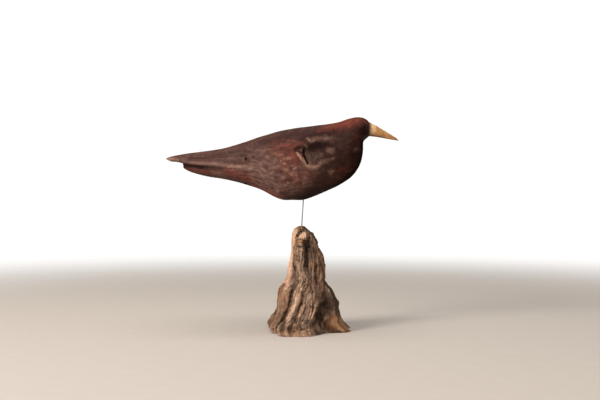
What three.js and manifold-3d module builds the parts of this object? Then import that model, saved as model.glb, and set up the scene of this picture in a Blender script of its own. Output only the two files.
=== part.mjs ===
// A bird carved from driftwood, with a beak of paler wood, held up by one thin steel
// wire over a weathered stump of driftwood that is sawn flat underneath.
// Units are millimetres. +X runs towards the beak, -Y towards the side that is
// mostly seen, and +Z up. The origin is in the middle of the stump's underside.
import * as THREE from "three";
import { mergeVertices } from "three/addons/utils/BufferGeometryUtils.js";
import { LoftGeometry } from "three/addons/geometries/LoftGeometry.js";
import Module from "manifold-3d";

const wasm = await Module();
wasm.setup();

const DEGREE = Math.PI / 180;
const FIT_GAP = 0.3; // clearance left round every piece that is let into another

// The bird's outline from the side, as [x, z] points.
const TAIL_TIP_X = -158.6;
const BACK_LINE = [
  [-158.6, 192.2],
  [-154.6, 193.8],
  [-138.9, 197.0],
  [-114.2, 200.3],
  [-91.8, 204.1],
  [-71.7, 210.2],
  [-53.8, 216.3],
  [-33.6, 222.0],
  [-9.0, 226.7],
  [15.7, 229.8],
  [33.6, 232.8],
  [44.8, 236.4],
  [53.8, 238.6],
  [60.5, 238.1],
  [65.2, 236.0],
  [68.1, 233.2],
];
const UPPER_TAIL_UNDERSIDE = [
  [-158.6, 191.4],
  [-153.4, 188.8],
  [-146.7, 188.2],
  [-139.2, 186.4],
];
const BELLY_LINE = [
  [-138.7, 180.9],
  [-132.2, 177.4],
  [-114.2, 172.4],
  [-94.1, 168.7],
  [-76.2, 165.1],
  [-60.5, 160.0],
  [-49.3, 155.2],
  [-38.1, 149.4],
  [-28.0, 146.0],
  [-17.9, 145.8],
  [-6.7, 145.5],
  [4.5, 148.7],
  [20.2, 155.3],
  [33.6, 161.5],
  [47.0, 170.1],
  [54.9, 179.2],
  [59.4, 188.2],
  [61.4, 199.4],
  [61.2, 207.2],
  [62.1, 211.0],
  [65.0, 214.2],
  [68.1, 216.3],
];

// Half the bird's width, as [share of the way from the tail tip to the beak, mm].
const HALF_WIDTHS = [
  [0.0, 2.6],
  [0.025, 6.4],
  [0.09, 10.0],
  [0.2, 14.0],
  [0.32, 19.5],
  [0.45, 26.5],
  [0.58, 31.2],
  [0.68, 32.2],
  [0.77, 30.0],
  [0.85, 24.6],
  [0.91, 19.6],
  [0.96, 15.2],
  [1.0, 8.2],
];
const TAIL_FULLNESS = 2.9; // how square the sections are: 2 is an ellipse
const BODY_FULLNESS = 2.15;
const FULLNESS_CHANGE = [0.15, 0.45]; // the shares between which tail becomes body
const BELLY_WEIGHT = 0.07; // the sections are this much wider below than above
const TAIL_TIP_SHARES = [0, 0.012, 0.03, 0.05]; // sections in the layer above the step
const BIRD_STATIONS = 50;
const BIRD_SIDES = 28;

// The groove that parts the tail's upper layer from the layer under it.
const TAIL_GROOVE = [
  [-141.0, 185.4],
  [-127.0, 182.9],
  [-112.0, 181.5],
  [-93.0, 182.3],
];
const GROOVE_WIDTH = 1.9;
const GROOVE_DEPTH = 2.4;
const GROOVE_STEPS = 10;
const GROOVE_RUN_OUT = 0.5; // how far outside the wood the cutter's edge ends
const GROOVE_END_SHARE = 0.3; // where it has faded out, as in HALF_WIDTHS
const LOWER_LAYER_INSET = 1.6; // how far the lower layer's sides are set in

// The beak, as [x, top z, bottom z, half width].
const BEAK_SECTIONS = [
  [65.9, 234.2, 216.9, 6.9],
  [69.4, 232.2, 217.0, 6.5],
  [76.2, 228.9, 216.2, 5.3],
  [85.1, 223.5, 214.7, 3.9],
  [94.1, 218.1, 213.1, 2.4],
  [98.6, 215.3, 212.4, 1.5],
  [101.3, 212.6, 211.9, 0.5],
];
const BEAK_SIDES = 12;
const BEAK_FULLNESS = 2.5;

// The wire's route, from the bottom of its hole in the stump to the top of its hole
// in the bird.
const WIRE_RADIUS = 0.6;
const WIRE_ROUTE = [
  [-7.5, 0, 104.0],
  [-7.0, 0, 116.0],
  [-6.4, 0, 128.0],
  [-5.5, 0, 141.0],
  [-5.0, 0, 157.0],
];
const WIRE_STEPS = 10;
const WIRE_SIDES = 8;

// The stump's trunk, as [height, left x, right x, front y, back y] from the sawn
// underside to the top.
const TRUNK = [
  [0, -40.6, 42.6, -38.0, 35.0],
  [6, -43.0, 37.8, -38.0, 36.5],
  [12, -41.0, 34.0, -37.0, 36.2],
  [18, -36.6, 33.8, -35.5, 34.5],
  [25, -33.2, 33.4, -33.0, 30.5],
  [31, -33.0, 32.6, -31.0, 27.5],
  [45, -31.8, 26.2, -27.0, 25.0],
  [50, -28.4, 21.8, -25.5, 24.6],
  [56, -24.0, 18.4, -23.5, 23.5],
  [62, -21.0, 17.2, -22.0, 20.6],
  [68, -20.8, 17.5, -20.5, 18.0],
  [80, -18.4, 17.0, -18.0, 17.0],
  [94, -17.8, 10.6, -14.5, 15.5],
  [103, -17.8, 8.4, -12.0, 12.0],
  [109, -17.4, 5.2, -9.4, 9.5],
  [113.5, -15.0, 0.2, -6.0, 6.5],
  [116.2, -10.4, -4.0, -3.0, 3.2],
];
const STUMP_LEVELS = 38;
const STUMP_SIDES = 74;
const FULL_RELIEF_RADIUS = 9; // cords and furrows are flatter where the trunk is thinner

// Bearings round the stump are in degrees: 0 faces -Y, 90 faces +X. The columns of
// its mesh lean with the wood, which turns between these heights as it goes down.
const COLUMN_LEAN = -24;
const LEAN_HEIGHTS = [4, 62];

// Roots swell the foot and hollows draw it in: their bearing, reach, spread in
// degrees, and the height over which they fade.
const ROOTS = [
  { bearing: -27, reach: 12.5, spread: 42, height: 24 },
  { bearing: 36, reach: -9, spread: 28, height: 60 },
  { bearing: 122, reach: 8, spread: 38, height: 22 },
  { bearing: 176, reach: -7, spread: 34, height: 46 },
  { bearing: 228, reach: 9, spread: 40, height: 30 },
];

// Cords of wood run down the stump. Each has its course as [height, bearing], its
// half width, how far it stands out, and over what height its upper end begins.
const CORDS = [
  // The smooth cord down the left edge, and the lobe that it runs into.
  {
    course: [[114, -32], [107, -58], [90, -68], [68, -64], [50, -58]],
    halfWidth: 5.5,
    rise: 1.6,
    start: 6,
  },
  {
    course: [[60, -62], [44, -56], [29, -61], [4, -58]],
    halfWidth: 10,
    rise: 2.6,
    start: 10,
  },
  // The middle ridge, whose upper end is a knob under the cut top.
  {
    course: [[103, -16], [92, -25], [80, -26], [68, -18], [54, -8]],
    halfWidth: 7.5,
    rise: 4.2,
    start: 1.6,
  },
  // The right flank, which swings under the middle as it goes down.
  {
    course: [[111, 46], [96, 38], [82, 31], [68, 38], [55, 44], [41, 25], [27, 14], [6, 5]],
    halfWidth: 6.5,
    rise: 2.6,
    start: 5,
  },
  {
    course: [[100, 66], [81, 62], [62, 68], [46, 70], [33, 68], [18, 72]],
    halfWidth: 7.5,
    rise: 1.8,
    start: 8,
  },
  // The fan of cords in front, all leaning to the left.
  {
    course: [[66, -5], [52, -13], [40, -19], [30, -25], [18, -28], [0, -30]],
    halfWidth: 7,
    rise: 3.6,
    start: 12,
  },
  {
    course: [[38, -4], [26, -10], [18, -13], [6, -8]],
    halfWidth: 3.5,
    rise: 2,
    start: 6,
  },
  {
    course: [[62, 14], [48, 8], [36, 5], [24, 0], [2, -2]],
    halfWidth: 9,
    rise: 2.6,
    start: 12,
  },
  // The foot that runs out to the right.
  {
    course: [[22, 44], [12, 58], [0, 74]],
    halfWidth: 13,
    rise: 5.5,
    start: 9,
  },
  // The side away from the view.
  {
    course: [[104, 108], [66, 104], [34, 98], [0, 90]],
    halfWidth: 8,
    rise: 2.2,
    start: 12,
  },
  {
    course: [[92, 146], [60, 138], [30, 126], [0, 118]],
    halfWidth: 11,
    rise: 3.4,
    start: 18,
  },
  {
    course: [[110, 176], [74, 170], [40, 156], [8, 146]],
    halfWidth: 7,
    rise: 2.4,
    start: 8,
  },
  {
    course: [[70, 204], [44, 196], [20, 184], [0, 178]],
    halfWidth: 9,
    rise: 3,
    start: 20,
  },
  {
    course: [[108, 222], [84, 226], [52, 226], [24, 214], [0, 206]],
    halfWidth: 8.5,
    rise: 3.2,
    start: 8,
  },
  {
    course: [[84, 262], [56, 258], [30, 248], [0, 240]],
    halfWidth: 11,
    rise: 2.4,
    start: 16,
  },
];

// The heights over which cords and furrows fade at their ends. A course that comes
// down to the foot runs on into the sawn underside.
const CORD_END = 6;
const FURROW_START = 6;
const FURROW_END = 5;
const FOOT_HEIGHT = 6;

// Furrows run between the cords: their course, their half width at the top and at
// the bottom of it, and their depth there.
const FURROWS = [
  // The deep one, which opens towards the foot.
  {
    course: [[58, -19], [44, -28], [34, -35], [23, -39], [12, -42], [0, -46]],
    halfWidths: [3.5, 6],
    depths: [3, 8.5],
  },
  // The wide hollow above the right foot.
  {
    course: [[58, 58], [46, 50], [38, 45], [28, 40], [18, 32]],
    halfWidths: [5, 15],
    depths: [3, 10],
  },
  // Beside the middle ridge.
  {
    course: [[99, 9], [84, -1], [74, 0], [62, 9]],
    halfWidths: [4.5, 5],
    depths: [5, 3.5],
  },
  {
    course: [[98, -50], [88, -52], [76, -49], [66, -38]],
    halfWidths: [2.6, 2.6],
    depths: [1.6, 1.6],
  },
  // The slot in the top, and the slanting groove at the cut face's left.
  {
    course: [[111, 34], [102, 20], [92, 17]],
    halfWidths: [2.6, 2.6],
    depths: [5, 3.5],
  },
  {
    course: [[115, 24], [110, -12], [105, -38]],
    halfWidths: [2.8, 2.8],
    depths: [1.6, 1.6],
  },
  // In the fan.
  {
    course: [[46, -4], [34, -12], [25, -17], [8, -18]],
    halfWidths: [3, 3],
    depths: [3, 3],
  },
  {
    course: [[40, 18], [28, 8], [14, 4]],
    halfWidths: [3, 3],
    depths: [2, 2],
  },
  // The side away from the view.
  {
    course: [[88, 124], [56, 118], [26, 108], [0, 103]],
    halfWidths: [4, 6],
    depths: [3, 6],
  },
  {
    course: [[98, 196], [66, 186], [34, 172], [0, 160]],
    halfWidths: [4, 7],
    depths: [3.5, 7],
  },
  {
    course: [[104, 244], [72, 243], [36, 232], [0, 222]],
    halfWidths: [3, 5],
    depths: [2.5, 5],
  },
];

// A value read from rows of [place, value, ...] in falling or rising order of place,
// with a smooth curve between the rows.
function valueAt(rows, place, column = 1) {
  const rising = rows[0][0] < rows[rows.length - 1][0];
  const table = rising ? rows : [...rows].reverse();
  const last = table.length - 1;
  if (place <= table[0][0]) return table[0][column];
  if (place >= table[last][0]) return table[last][column];
  let i = 0;
  while (table[i + 1][0] < place) i++;
  const slope = (a, b) => (table[b][column] - table[a][column]) / (table[b][0] - table[a][0]);
  const span = table[i + 1][0] - table[i][0];
  const s0 = slope(Math.max(i - 1, 0), i + 1) * span;
  const s1 = slope(i, Math.min(i + 2, last)) * span;
  const t = (place - table[i][0]) / span;
  const y0 = table[i][column];
  const y1 = table[i + 1][column];
  return y0 + t * (s0 + t * (3 * (y1 - y0) - 2 * s0 - s1 + t * (2 * (y0 - y1) + s0 + s1)));
}

// A row of a table between its rows: 2.5 is half way from the third to the fourth.
function rowAt(rows, index) {
  const numbered = rows.map((row, i) => [i, ...row]);
  return rows[0].map((_, column) => valueAt(numbered, index, column + 1));
}

const sidePoints = (points) => points.map(([x, z]) => new THREE.Vector3(x, 0, z));
const smoothLine = (points) =>
  new THREE.CatmullRomCurve3(sidePoints(points), false, "centripetal");

// A power that keeps the sign, for sections between an ellipse and a rectangle.
const signedPower = (value, power) => Math.sign(value) * Math.abs(value) ** power;

// A closed mesh as a solid that can be cut, and back again.
function toSolid(geometry) {
  const bare = new THREE.BufferGeometry();
  bare.setAttribute("position", geometry.getAttribute("position"));
  bare.setIndex(geometry.getIndex());
  const merged = mergeVertices(bare, 1e-4);
  const solid = new wasm.Manifold(
    new wasm.Mesh({
      numProp: 3,
      vertProperties: new Float32Array(merged.attributes.position.array),
      triVerts: new Uint32Array(merged.index.array),
    }),
  );
  return solid;
}

function toGeometry(solid) {
  const mesh = solid.getMesh();
  const geometry = new THREE.BufferGeometry();
  geometry.setAttribute("position", new THREE.BufferAttribute(mesh.vertProperties, 3));
  geometry.setIndex(new THREE.BufferAttribute(mesh.triVerts, 1));
  geometry.computeVertexNormals();
  return geometry;
}

function piece(name, solid, color, roughness, metalness) {
  const material = new THREE.MeshStandardMaterial({ color, roughness, metalness });
  const mesh = new THREE.Mesh(toGeometry(solid), material);
  mesh.name = name;
  return mesh;
}

// A round rod along the wire's route, longer at both ends by a margin.
function rodOnWireRoute(radius, margin) {
  const points = WIRE_ROUTE.map((p) => new THREE.Vector3(...p));
  const last = points.length - 1;
  points[0].z -= margin;
  points[last].z += margin;
  const section = new THREE.Shape();
  section.absarc(0, 0, radius, 0, 2 * Math.PI);
  return new THREE.ExtrudeGeometry(section, {
    steps: WIRE_STEPS,
    curveSegments: WIRE_SIDES / 2, // a full turn takes twice as many
    extrudePath: new THREE.CatmullRomCurve3(points),
  });
}

// One section of the bird: the share is 0 at the tail tip and 1 at the beak.
function birdSection(share, top, bottom) {
  const halfWidth = valueAt(HALF_WIDTHS, share);
  const bodiness = THREE.MathUtils.smoothstep(share, ...FULLNESS_CHANGE);
  const fullness = THREE.MathUtils.lerp(TAIL_FULLNESS, BODY_FULLNESS, bodiness);
  const centre = top.clone().add(bottom).multiplyScalar(0.5);
  const half = top.clone().sub(bottom).multiplyScalar(0.5);
  const ring = [];
  for (let side = 0; side < BIRD_SIDES; side++) {
    const angle = (2 * Math.PI * side) / BIRD_SIDES;
    const rise = signedPower(Math.cos(angle), 2 / fullness);
    const out = signedPower(Math.sin(angle), 2 / fullness);
    const point = centre.clone().addScaledVector(half, rise);
    const belowGroove = THREE.MathUtils.smoothstep(valueAt(TAIL_GROOVE, point.x) - point.z, -1, 1);
    const inset = LOWER_LAYER_INSET * belowGroove * Math.max(0, 1 - share / GROOVE_END_SHARE);
    point.y = -out * (halfWidth * (1 - BELLY_WEIGHT * rise) - inset);
    ring.push(point);
  }
  return ring;
}

// The bird is lofted along its length, and the tail's blunt step is one short stretch
// of the loft where only the lower line moves.
function carvedBody() {
  const back = smoothLine(BACK_LINE);
  const below = new THREE.CurvePath();
  const underTail = smoothLine(UPPER_TAIL_UNDERSIDE);
  const belly = smoothLine(BELLY_LINE);
  const step = new THREE.LineCurve3(underTail.getPoint(1), belly.getPoint(0));
  below.add(underTail);
  below.add(step);
  below.add(belly);
  const length = below.getLength();
  const stepStart = underTail.getLength() / length;
  const stepEnd = (underTail.getLength() + step.getLength()) / length;
  const shares = [...TAIL_TIP_SHARES, stepStart, stepEnd];
  for (let i = 1; i <= BIRD_STATIONS; i++) {
    shares.push(stepEnd + ((1 - stepEnd) * i) / BIRD_STATIONS);
  }
  const sections = shares.map((share) =>
    birdSection(share, back.getPointAt(share), below.getPoint(share)),
  );
  return toSolid(new LoftGeometry(sections, { capStart: true, capEnd: true }));
}

// Half the bird's width at a place along the tail.
function tailHalfWidth(x) {
  const beakSeat = BACK_LINE[BACK_LINE.length - 1][0];
  return valueAt(HALF_WIDTHS, (x - TAIL_TIP_X) / (beakSeat - TAIL_TIP_X));
}

// A wedge that runs along one side of the tail and comes out of the wood at its
// forward end: side is -1 or 1.
function grooveCutter(side) {
  const [start, end] = [TAIL_GROOVE[0][0], TAIL_GROOVE[TAIL_GROOVE.length - 1][0]];
  const sections = [];
  for (let i = 0; i <= GROOVE_STEPS; i++) {
    const share = i / GROOVE_STEPS;
    const x = THREE.MathUtils.lerp(start, end, share);
    const z = valueAt(TAIL_GROOVE, x);
    const surface = tailHalfWidth(x);
    const outside = surface + 2 * GROOVE_RUN_OUT;
    const depth = THREE.MathUtils.lerp(GROOVE_DEPTH, -GROOVE_RUN_OUT, share ** 3);
    const ring = [
      new THREE.Vector3(x, side * outside, z + GROOVE_WIDTH),
      new THREE.Vector3(x, side * (surface - depth), z),
      new THREE.Vector3(x, side * outside, z - GROOVE_WIDTH),
    ];
    sections.push(side > 0 ? ring : ring.reverse());
  }
  return toSolid(new LoftGeometry(sections, { capStart: true, capEnd: true }));
}

// The beak, swollen by a margin for the socket that is cut for it.
function beakSolid(margin, count) {
  const sections = BEAK_SECTIONS.slice(0, count).map(([x, top, bottom, halfWidth], i) => {
    const startMargin = i === 0 ? -margin : 0;
    const ring = [];
    for (let side = 0; side < BEAK_SIDES; side++) {
      const angle = (2 * Math.PI * (side + 0.5)) / BEAK_SIDES;
      const rise = signedPower(Math.cos(angle), 2 / BEAK_FULLNESS);
      const out = signedPower(Math.sin(angle), 2 / BEAK_FULLNESS);
      const z = (top + bottom) / 2 + rise * ((top - bottom) / 2 + margin);
      ring.push(new THREE.Vector3(x + startMargin, -out * (halfWidth + margin), z));
    }
    return ring;
  });
  return toSolid(new LoftGeometry(sections, { capStart: true, capEnd: true }));
}

// How far a place on the stump is from a course, in mm round the trunk.
function distanceRound(course, height, bearing, radius) {
  const turn = bearing - valueAt(course, height);
  const wrapped = THREE.MathUtils.euclideanModulo(turn + 180, 360) - 180;
  return wrapped * DEGREE * radius;
}

// How much of a cord or furrow there is at a height: it fades in and out at its ends.
function strengthAt(course, height, start, end) {
  const top = course[0][0];
  const low = course[course.length - 1][0];
  const fadesIn = 1 - THREE.MathUtils.smoothstep(height, top - start / 2, top + start / 2);
  if (low <= FOOT_HEIGHT) return fadesIn;
  return fadesIn * THREE.MathUtils.smoothstep(height, low - end, low + end);
}

// How far the surface stands out from the plain trunk at a height and bearing.
function relief(height, bearing, radius) {
  let out = 0;
  for (const root of ROOTS) {
    const away = THREE.MathUtils.euclideanModulo(bearing - root.bearing + 180, 360) - 180;
    const near = Math.max(0, 1 - (away / root.spread) ** 2);
    out += root.reach * near ** 2 * Math.exp(-((height / root.height) ** 2));
  }
  for (const cord of CORDS) {
    const away = distanceRound(cord.course, height, bearing, radius) / cord.halfWidth;
    const near = Math.max(0, 1 - away * away);
    out += cord.rise * near * strengthAt(cord.course, height, cord.start, CORD_END);
  }
  for (const { course, halfWidths, depths } of FURROWS) {
    const top = course[0][0];
    const low = course[course.length - 1][0];
    const share = THREE.MathUtils.clamp((top - height) / (top - low), 0, 1);
    const halfWidth = THREE.MathUtils.lerp(...halfWidths, share);
    const depth = THREE.MathUtils.lerp(...depths, share);
    const away = Math.abs(distanceRound(course, height, bearing, radius)) / halfWidth;
    const near = Math.max(0, 1 - away);
    out -= depth * near ** 1.5 * strengthAt(course, height, FURROW_START, FURROW_END);
  }
  return out;
}

function driftwoodStump() {
  const sections = [];
  for (let level = 0; level <= STUMP_LEVELS; level++) {
    const index = (level / STUMP_LEVELS) * (TRUNK.length - 1);
    const [height, left, right, front, back] = rowAt(TRUNK, index);
    const halfX = (right - left) / 2;
    const halfY = (back - front) / 2;
    const lean = COLUMN_LEAN * (1 - THREE.MathUtils.smoothstep(height, ...LEAN_HEIGHTS));
    const ring = [];
    for (let side = 0; side < STUMP_SIDES; side++) {
      const bearing = lean + (360 * side) / STUMP_SIDES;
      const x = Math.sin(bearing * DEGREE);
      const y = -Math.cos(bearing * DEGREE);
      const radius = Math.hypot(halfX * x, halfY * y);
      const limit = Math.min(1, radius / FULL_RELIEF_RADIUS);
      const out = relief(height, bearing, radius) * limit;
      ring.push(
        new THREE.Vector3(
          (left + right) / 2 + x * (halfX + out),
          (front + back) / 2 + y * (halfY + out),
          height,
        ),
      );
    }
    sections.push(ring);
  }
  return toSolid(new LoftGeometry(sections, { capStart: true, capEnd: true }));
}

const wireHole = toSolid(rodOnWireRoute(WIRE_RADIUS + FIT_GAP, FIT_GAP));
const beakSocket = beakSolid(FIT_GAP, 3);

const body = carvedBody()
  .subtract(grooveCutter(-1))
  .subtract(grooveCutter(1))
  .subtract(beakSocket)
  .subtract(wireHole);

const bird = new THREE.Group();
bird.add(piece("bird_body", body, 0x4b312b, 0.62, 0));
bird.add(piece("beak", beakSolid(0, BEAK_SECTIONS.length), 0xc49e68, 0.55, 0));

const stand = new THREE.Group();
stand.add(piece("leg_wire", toSolid(rodOnWireRoute(WIRE_RADIUS, 0)), 0x6f7174, 0.4, 1));
stand.add(piece("driftwood_stump", driftwoodStump().subtract(wireHole), 0x8a6f58, 0.85, 0));

const carving = new THREE.Group();
carving.add(bird, stand);
export default carving;
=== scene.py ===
# %% [markdown]
# # A driftwood bird on a wire
# The carving has four pieces: a plump bird cut from dark driftwood, a beak of paler
# wood let into its head, one thin steel wire, and a weathered stump of driftwood that
# is sawn flat underneath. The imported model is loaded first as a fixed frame. Each of
# its plain solids is then replaced, in its own place, by a finer mesh of the same
# form, which carries the grain, cracks, knots and wear.

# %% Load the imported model
import math

import bpy
import numpy as np
from mathutils.kdtree import KDTree
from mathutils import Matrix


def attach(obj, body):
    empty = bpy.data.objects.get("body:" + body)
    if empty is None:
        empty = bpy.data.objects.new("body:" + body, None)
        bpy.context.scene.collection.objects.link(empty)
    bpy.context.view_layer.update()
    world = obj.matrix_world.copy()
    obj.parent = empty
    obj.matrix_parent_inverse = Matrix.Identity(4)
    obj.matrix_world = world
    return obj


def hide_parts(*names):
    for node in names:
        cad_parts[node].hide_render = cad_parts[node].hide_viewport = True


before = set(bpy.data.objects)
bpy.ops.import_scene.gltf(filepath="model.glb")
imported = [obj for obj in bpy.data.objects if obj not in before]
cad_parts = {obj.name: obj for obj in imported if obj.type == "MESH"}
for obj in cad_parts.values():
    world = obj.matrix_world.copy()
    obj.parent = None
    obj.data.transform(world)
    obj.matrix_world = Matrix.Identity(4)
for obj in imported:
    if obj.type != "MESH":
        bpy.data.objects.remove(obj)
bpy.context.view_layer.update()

print("nodes of the model:", sorted(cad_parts))

# %% [markdown]
# ## Smooth steps, curves through a few numbers, and noise
# A carved form is easiest to change when it hangs on a few named numbers. So a curve
# is drawn through short tables, and everything between is worked out. Wood also needs
# unevenness that is the same on every run: the noise below gives each corner of a
# grid in space a number from a fixed scramble of its place, and blends between them.

# %% Steps, tables and curves
MM = 0.001


def smoothstep(value, low, high):
    share = np.clip((value - low) / (high - low), 0.0, 1.0)
    return share * share * (3 - 2 * share)


def value_at(rows, place, column=1):
    """A smooth curve through rows of (place, value, ...), read at any number of places."""
    table = np.array(rows, float)
    if table[0, 0] > table[-1, 0]:
        table = table[::-1]
    x, y = table[:, 0], table[:, column]
    last = len(x) - 1
    place = np.clip(place, x[0], x[-1])
    i = np.clip(np.searchsorted(x, place, side="left") - 1, 0, last - 1)
    before, after = np.maximum(i - 1, 0), np.minimum(i + 2, last)
    span = x[i + 1] - x[i]
    s0 = (y[i + 1] - y[before]) / (x[i + 1] - x[before]) * span
    s1 = (y[after] - y[i]) / (x[after] - x[i]) * span
    t = (place - x[i]) / span
    rise = y[i + 1] - y[i]
    return y[i] + t * (s0 + t * (3 * rise - 2 * s0 - s1 + t * (s0 + s1 - 2 * rise)))


def smooth_line(points, steps=60):
    """A centripetal curve through the points, as a close row of places."""
    p = np.array(points, float)
    p = np.vstack((2 * p[0] - p[1], p, 2 * p[-1] - p[-2]))
    t = np.linspace(0, 1, steps, endpoint=False)[:, None]
    rows = []
    for a, b, c, d in zip(p, p[1:], p[2:], p[3:]):
        d0, d1, d2 = (math.sqrt(np.linalg.norm(v)) for v in (b - a, c - b, d - c))
        t1 = ((b - a) / d0 - (c - a) / (d0 + d1) + (c - b) / d1) * d1
        t2 = ((c - b) / d1 - (d - b) / (d1 + d2) + (d - c) / d2) * d1
        rows.append(b + t * (t1 + t * (3 * (c - b) - 2 * t1 - t2 + t * (2 * (b - c) + t1 + t2))))
    return np.vstack(rows + [p[-2:-1]])


def along_line(line, shares):
    """Places on a line, at shares of its length."""
    steps = np.linalg.norm(np.diff(line, axis=0), axis=1)
    length = np.concatenate(([0.0], np.cumsum(steps)))
    places = np.asarray(shares) * length[-1]
    return np.column_stack([np.interp(places, length, line[:, k]) for k in range(line.shape[1])])


# %% Noise that is the same on every run
SCRAMBLE = 0xFFFFFFFF


def lattice(x, y, z, seed):
    """A number from -1 to 1 for each whole place in space."""
    h = (x * 0x8DA6B343 ^ y * 0xD8163841 ^ z * 0xCB1AB31F ^ (seed + 1) * 0x9E3779B9) & SCRAMBLE
    h = ((h ^ (h >> 15)) * 0x2C1B3C6D) & SCRAMBLE
    h = ((h ^ (h >> 12)) * 0x297A2D39) & SCRAMBLE
    return (h ^ (h >> 15)) / 2.0**31 - 1


def noise(points, size, seed=0):
    """Smooth noise from -1 to 1 whose lumps are this large: one size, or one for each axis."""
    place = np.asarray(points, float) / size
    whole = np.floor(place).astype(np.int64)
    t = place - whole
    t = t * t * t * (t * (t * 6 - 15) + 10)
    total = 0.0
    for i in (0, 1):
        for j in (0, 1):
            for k in (0, 1):
                share = np.ones(len(place))
                for axis, side in enumerate((i, j, k)):
                    share = share * (t[:, axis] if side else 1 - t[:, axis])
                total = total + share * lattice(
                    whole[:, 0] + i, whole[:, 1] + j, whole[:, 2] + k, seed
                )
    return total


def layered(points, size, seed=0, layers=3):
    """Noise with finer noise laid on it, each layer half as large and half as strong."""
    size = np.asarray(size, float)
    parts = [noise(points, size / 2**n, seed + 17 * n) / 2**n for n in range(layers)]
    return sum(parts) / 1.5


def cells(points, size, seed=0):
    """Splits space into uneven cells. Gives how far the cell's border is, and a number
    from -1 to 1 that is the same all over one cell."""
    place = np.asarray(points, float) / size
    whole = np.floor(place).astype(np.int64)
    nearest, second = np.full(len(place), 9.0), np.full(len(place), 9.0)
    own = np.zeros(len(place))
    for i, j, k in np.ndindex(3, 3, 3):
        x, y, z = whole[:, 0] + i - 1, whole[:, 1] + j - 1, whole[:, 2] + k - 1
        shift = np.column_stack([0.5 + 0.45 * lattice(x, y, z, seed + n) for n in (1, 2, 3)])
        away = np.linalg.norm(place - np.column_stack((x, y, z)) - shift, axis=1)
        second = np.minimum(second, np.maximum(away, nearest))
        own = np.where(away < nearest, lattice(x, y, z, seed), own)
        nearest = np.minimum(nearest, away)
    return second - nearest, own


print("noise at one place:", noise([[1.3, 2.1, 0.7]], 1.0))

# %% [markdown]
# ## Camera, light and floor
# The camera stands level with the bird's belly, a little under a metre away, with a
# 50 mm lens. The light is one broad window on the left and above, a weak fill, and a
# pale room all round. The floor fades into the pale room, so that no edge shows.

# %% Camera
EYE = np.array([-8.96, -933.33, 145.6])  # mm

camera_data = bpy.data.cameras.new("camera")
camera_data.lens = 50
camera_data.sensor_width = 36
camera = bpy.data.objects.new("camera", camera_data)
camera.location = EYE * MM
camera.rotation_euler = (math.radians(90), 0, 0)
bpy.context.scene.collection.objects.link(camera)
bpy.context.scene.camera = camera
bpy.context.scene.view_settings.view_transform = "Standard"
print("camera at", list(camera.location))


# %% Helpers for materials
def new_material(name):
    """An empty material, and a short way to add and join its nodes."""
    material = bpy.data.materials.new(name)
    material.use_nodes = True
    tree = material.node_tree
    tree.nodes.clear()

    def add(kind, sockets=None, **settings):
        made = tree.nodes.new("ShaderNode" + kind)
        for key, value in settings.items():
            setattr(made, key, value)
        for key, value in (sockets or {}).items():
            if isinstance(value, bpy.types.NodeSocket):
                tree.links.new(value, made.inputs[key])
            else:
                made.inputs[key].default_value = value
        return made

    return material, add


def mask(add, name):
    """A number that the mesh carries at each of its points."""
    return add("Attribute", attribute_name=name).outputs["Fac"]


def mixed(add, factor, first, second, how="MIX"):
    """Two colours mixed: sockets, or colours given as three numbers."""
    colours = [c if isinstance(c, bpy.types.NodeSocket) else (*c, 1.0) for c in (first, second)]
    sockets = {0: factor, 6: colours[0], 7: colours[1]}
    return add("Mix", sockets, data_type="RGBA", blend_type=how).outputs[2]


def ramp(add, factor, stops):
    """Values or colours along a factor, from a list of (place, value)."""
    made = add("ValToRGB", {"Fac": factor})
    row = made.color_ramp.elements
    while len(row) < len(stops):
        row.new(0.5)
    for element, (place, value) in zip(row, stops):
        element.position = place
        element.color = (*value, 1.0) if isinstance(value, tuple) else (value, value, value, 1.0)
    return made.outputs["Color"]


def calc(add, how, first, second=0.0, third=0.0):
    sockets = {0: first, 1: second, 2: third}
    return add("Math", sockets, operation=how, use_clamp=False).outputs[0]


def finish_material(add, colour, roughness, height, distance, **settings):
    """The last nodes of every wooden or steel finish: height is a field from 0 to 1."""
    bump = add("Bump", {"Height": height, "Distance": distance, "Strength": 1.0})
    sockets = {"Base Color": colour, "Roughness": roughness, "Normal": bump.outputs[0]}
    shader = add("BsdfPrincipled", {**sockets, **settings})
    add("OutputMaterial", {"Surface": shader.outputs[0]})


# %% Light and floor
def area_light(name, place, aim, size, power, colour):
    data = bpy.data.lights.new(name, "AREA")
    data.shape = "DISK"
    data.size = size
    data.energy = power
    data.color = colour
    light = bpy.data.objects.new(name, data)
    light.location = place
    way = bpy.data.objects.new("aim", None).location.copy()
    way.x, way.y, way.z = (a - p for a, p in zip(aim, place))
    light.rotation_euler = way.to_track_quat("-Z", "Y").to_euler()
    bpy.context.scene.collection.objects.link(light)
    return light


area_light("window", (-1.5, -1.15, 0.9), (0, 0, 0.14), 0.9, 42, (1.0, 0.93, 0.86))
area_light("ceiling", (0.0, -0.2, 1.7), (0, 0, 0.1), 1.5, 20, (1.0, 0.96, 0.92))
area_light("fill", (0.6, -1.6, 0.9), (0, 0, 0.12), 1.2, 2, (1.0, 0.95, 0.9))

world = bpy.data.worlds.new("pale_room")
bpy.context.scene.world = world
world.use_nodes = True
room = world.node_tree
room.nodes.clear()
seen = room.nodes.new("ShaderNodeLightPath")
strength = room.nodes.new("ShaderNodeMapRange")
strength.inputs["To Min"].default_value = 0.2
strength.inputs["To Max"].default_value = 1.05
sky = room.nodes.new("ShaderNodeBackground")
sky.inputs["Color"].default_value = (1.0, 0.985, 0.965, 1.0)
out = room.nodes.new("ShaderNodeOutputWorld")
room.links.new(seen.outputs["Is Camera Ray"], strength.inputs["Value"])
room.links.new(strength.outputs[0], sky.inputs["Strength"])
room.links.new(sky.outputs[0], out.inputs["Surface"])

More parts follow.
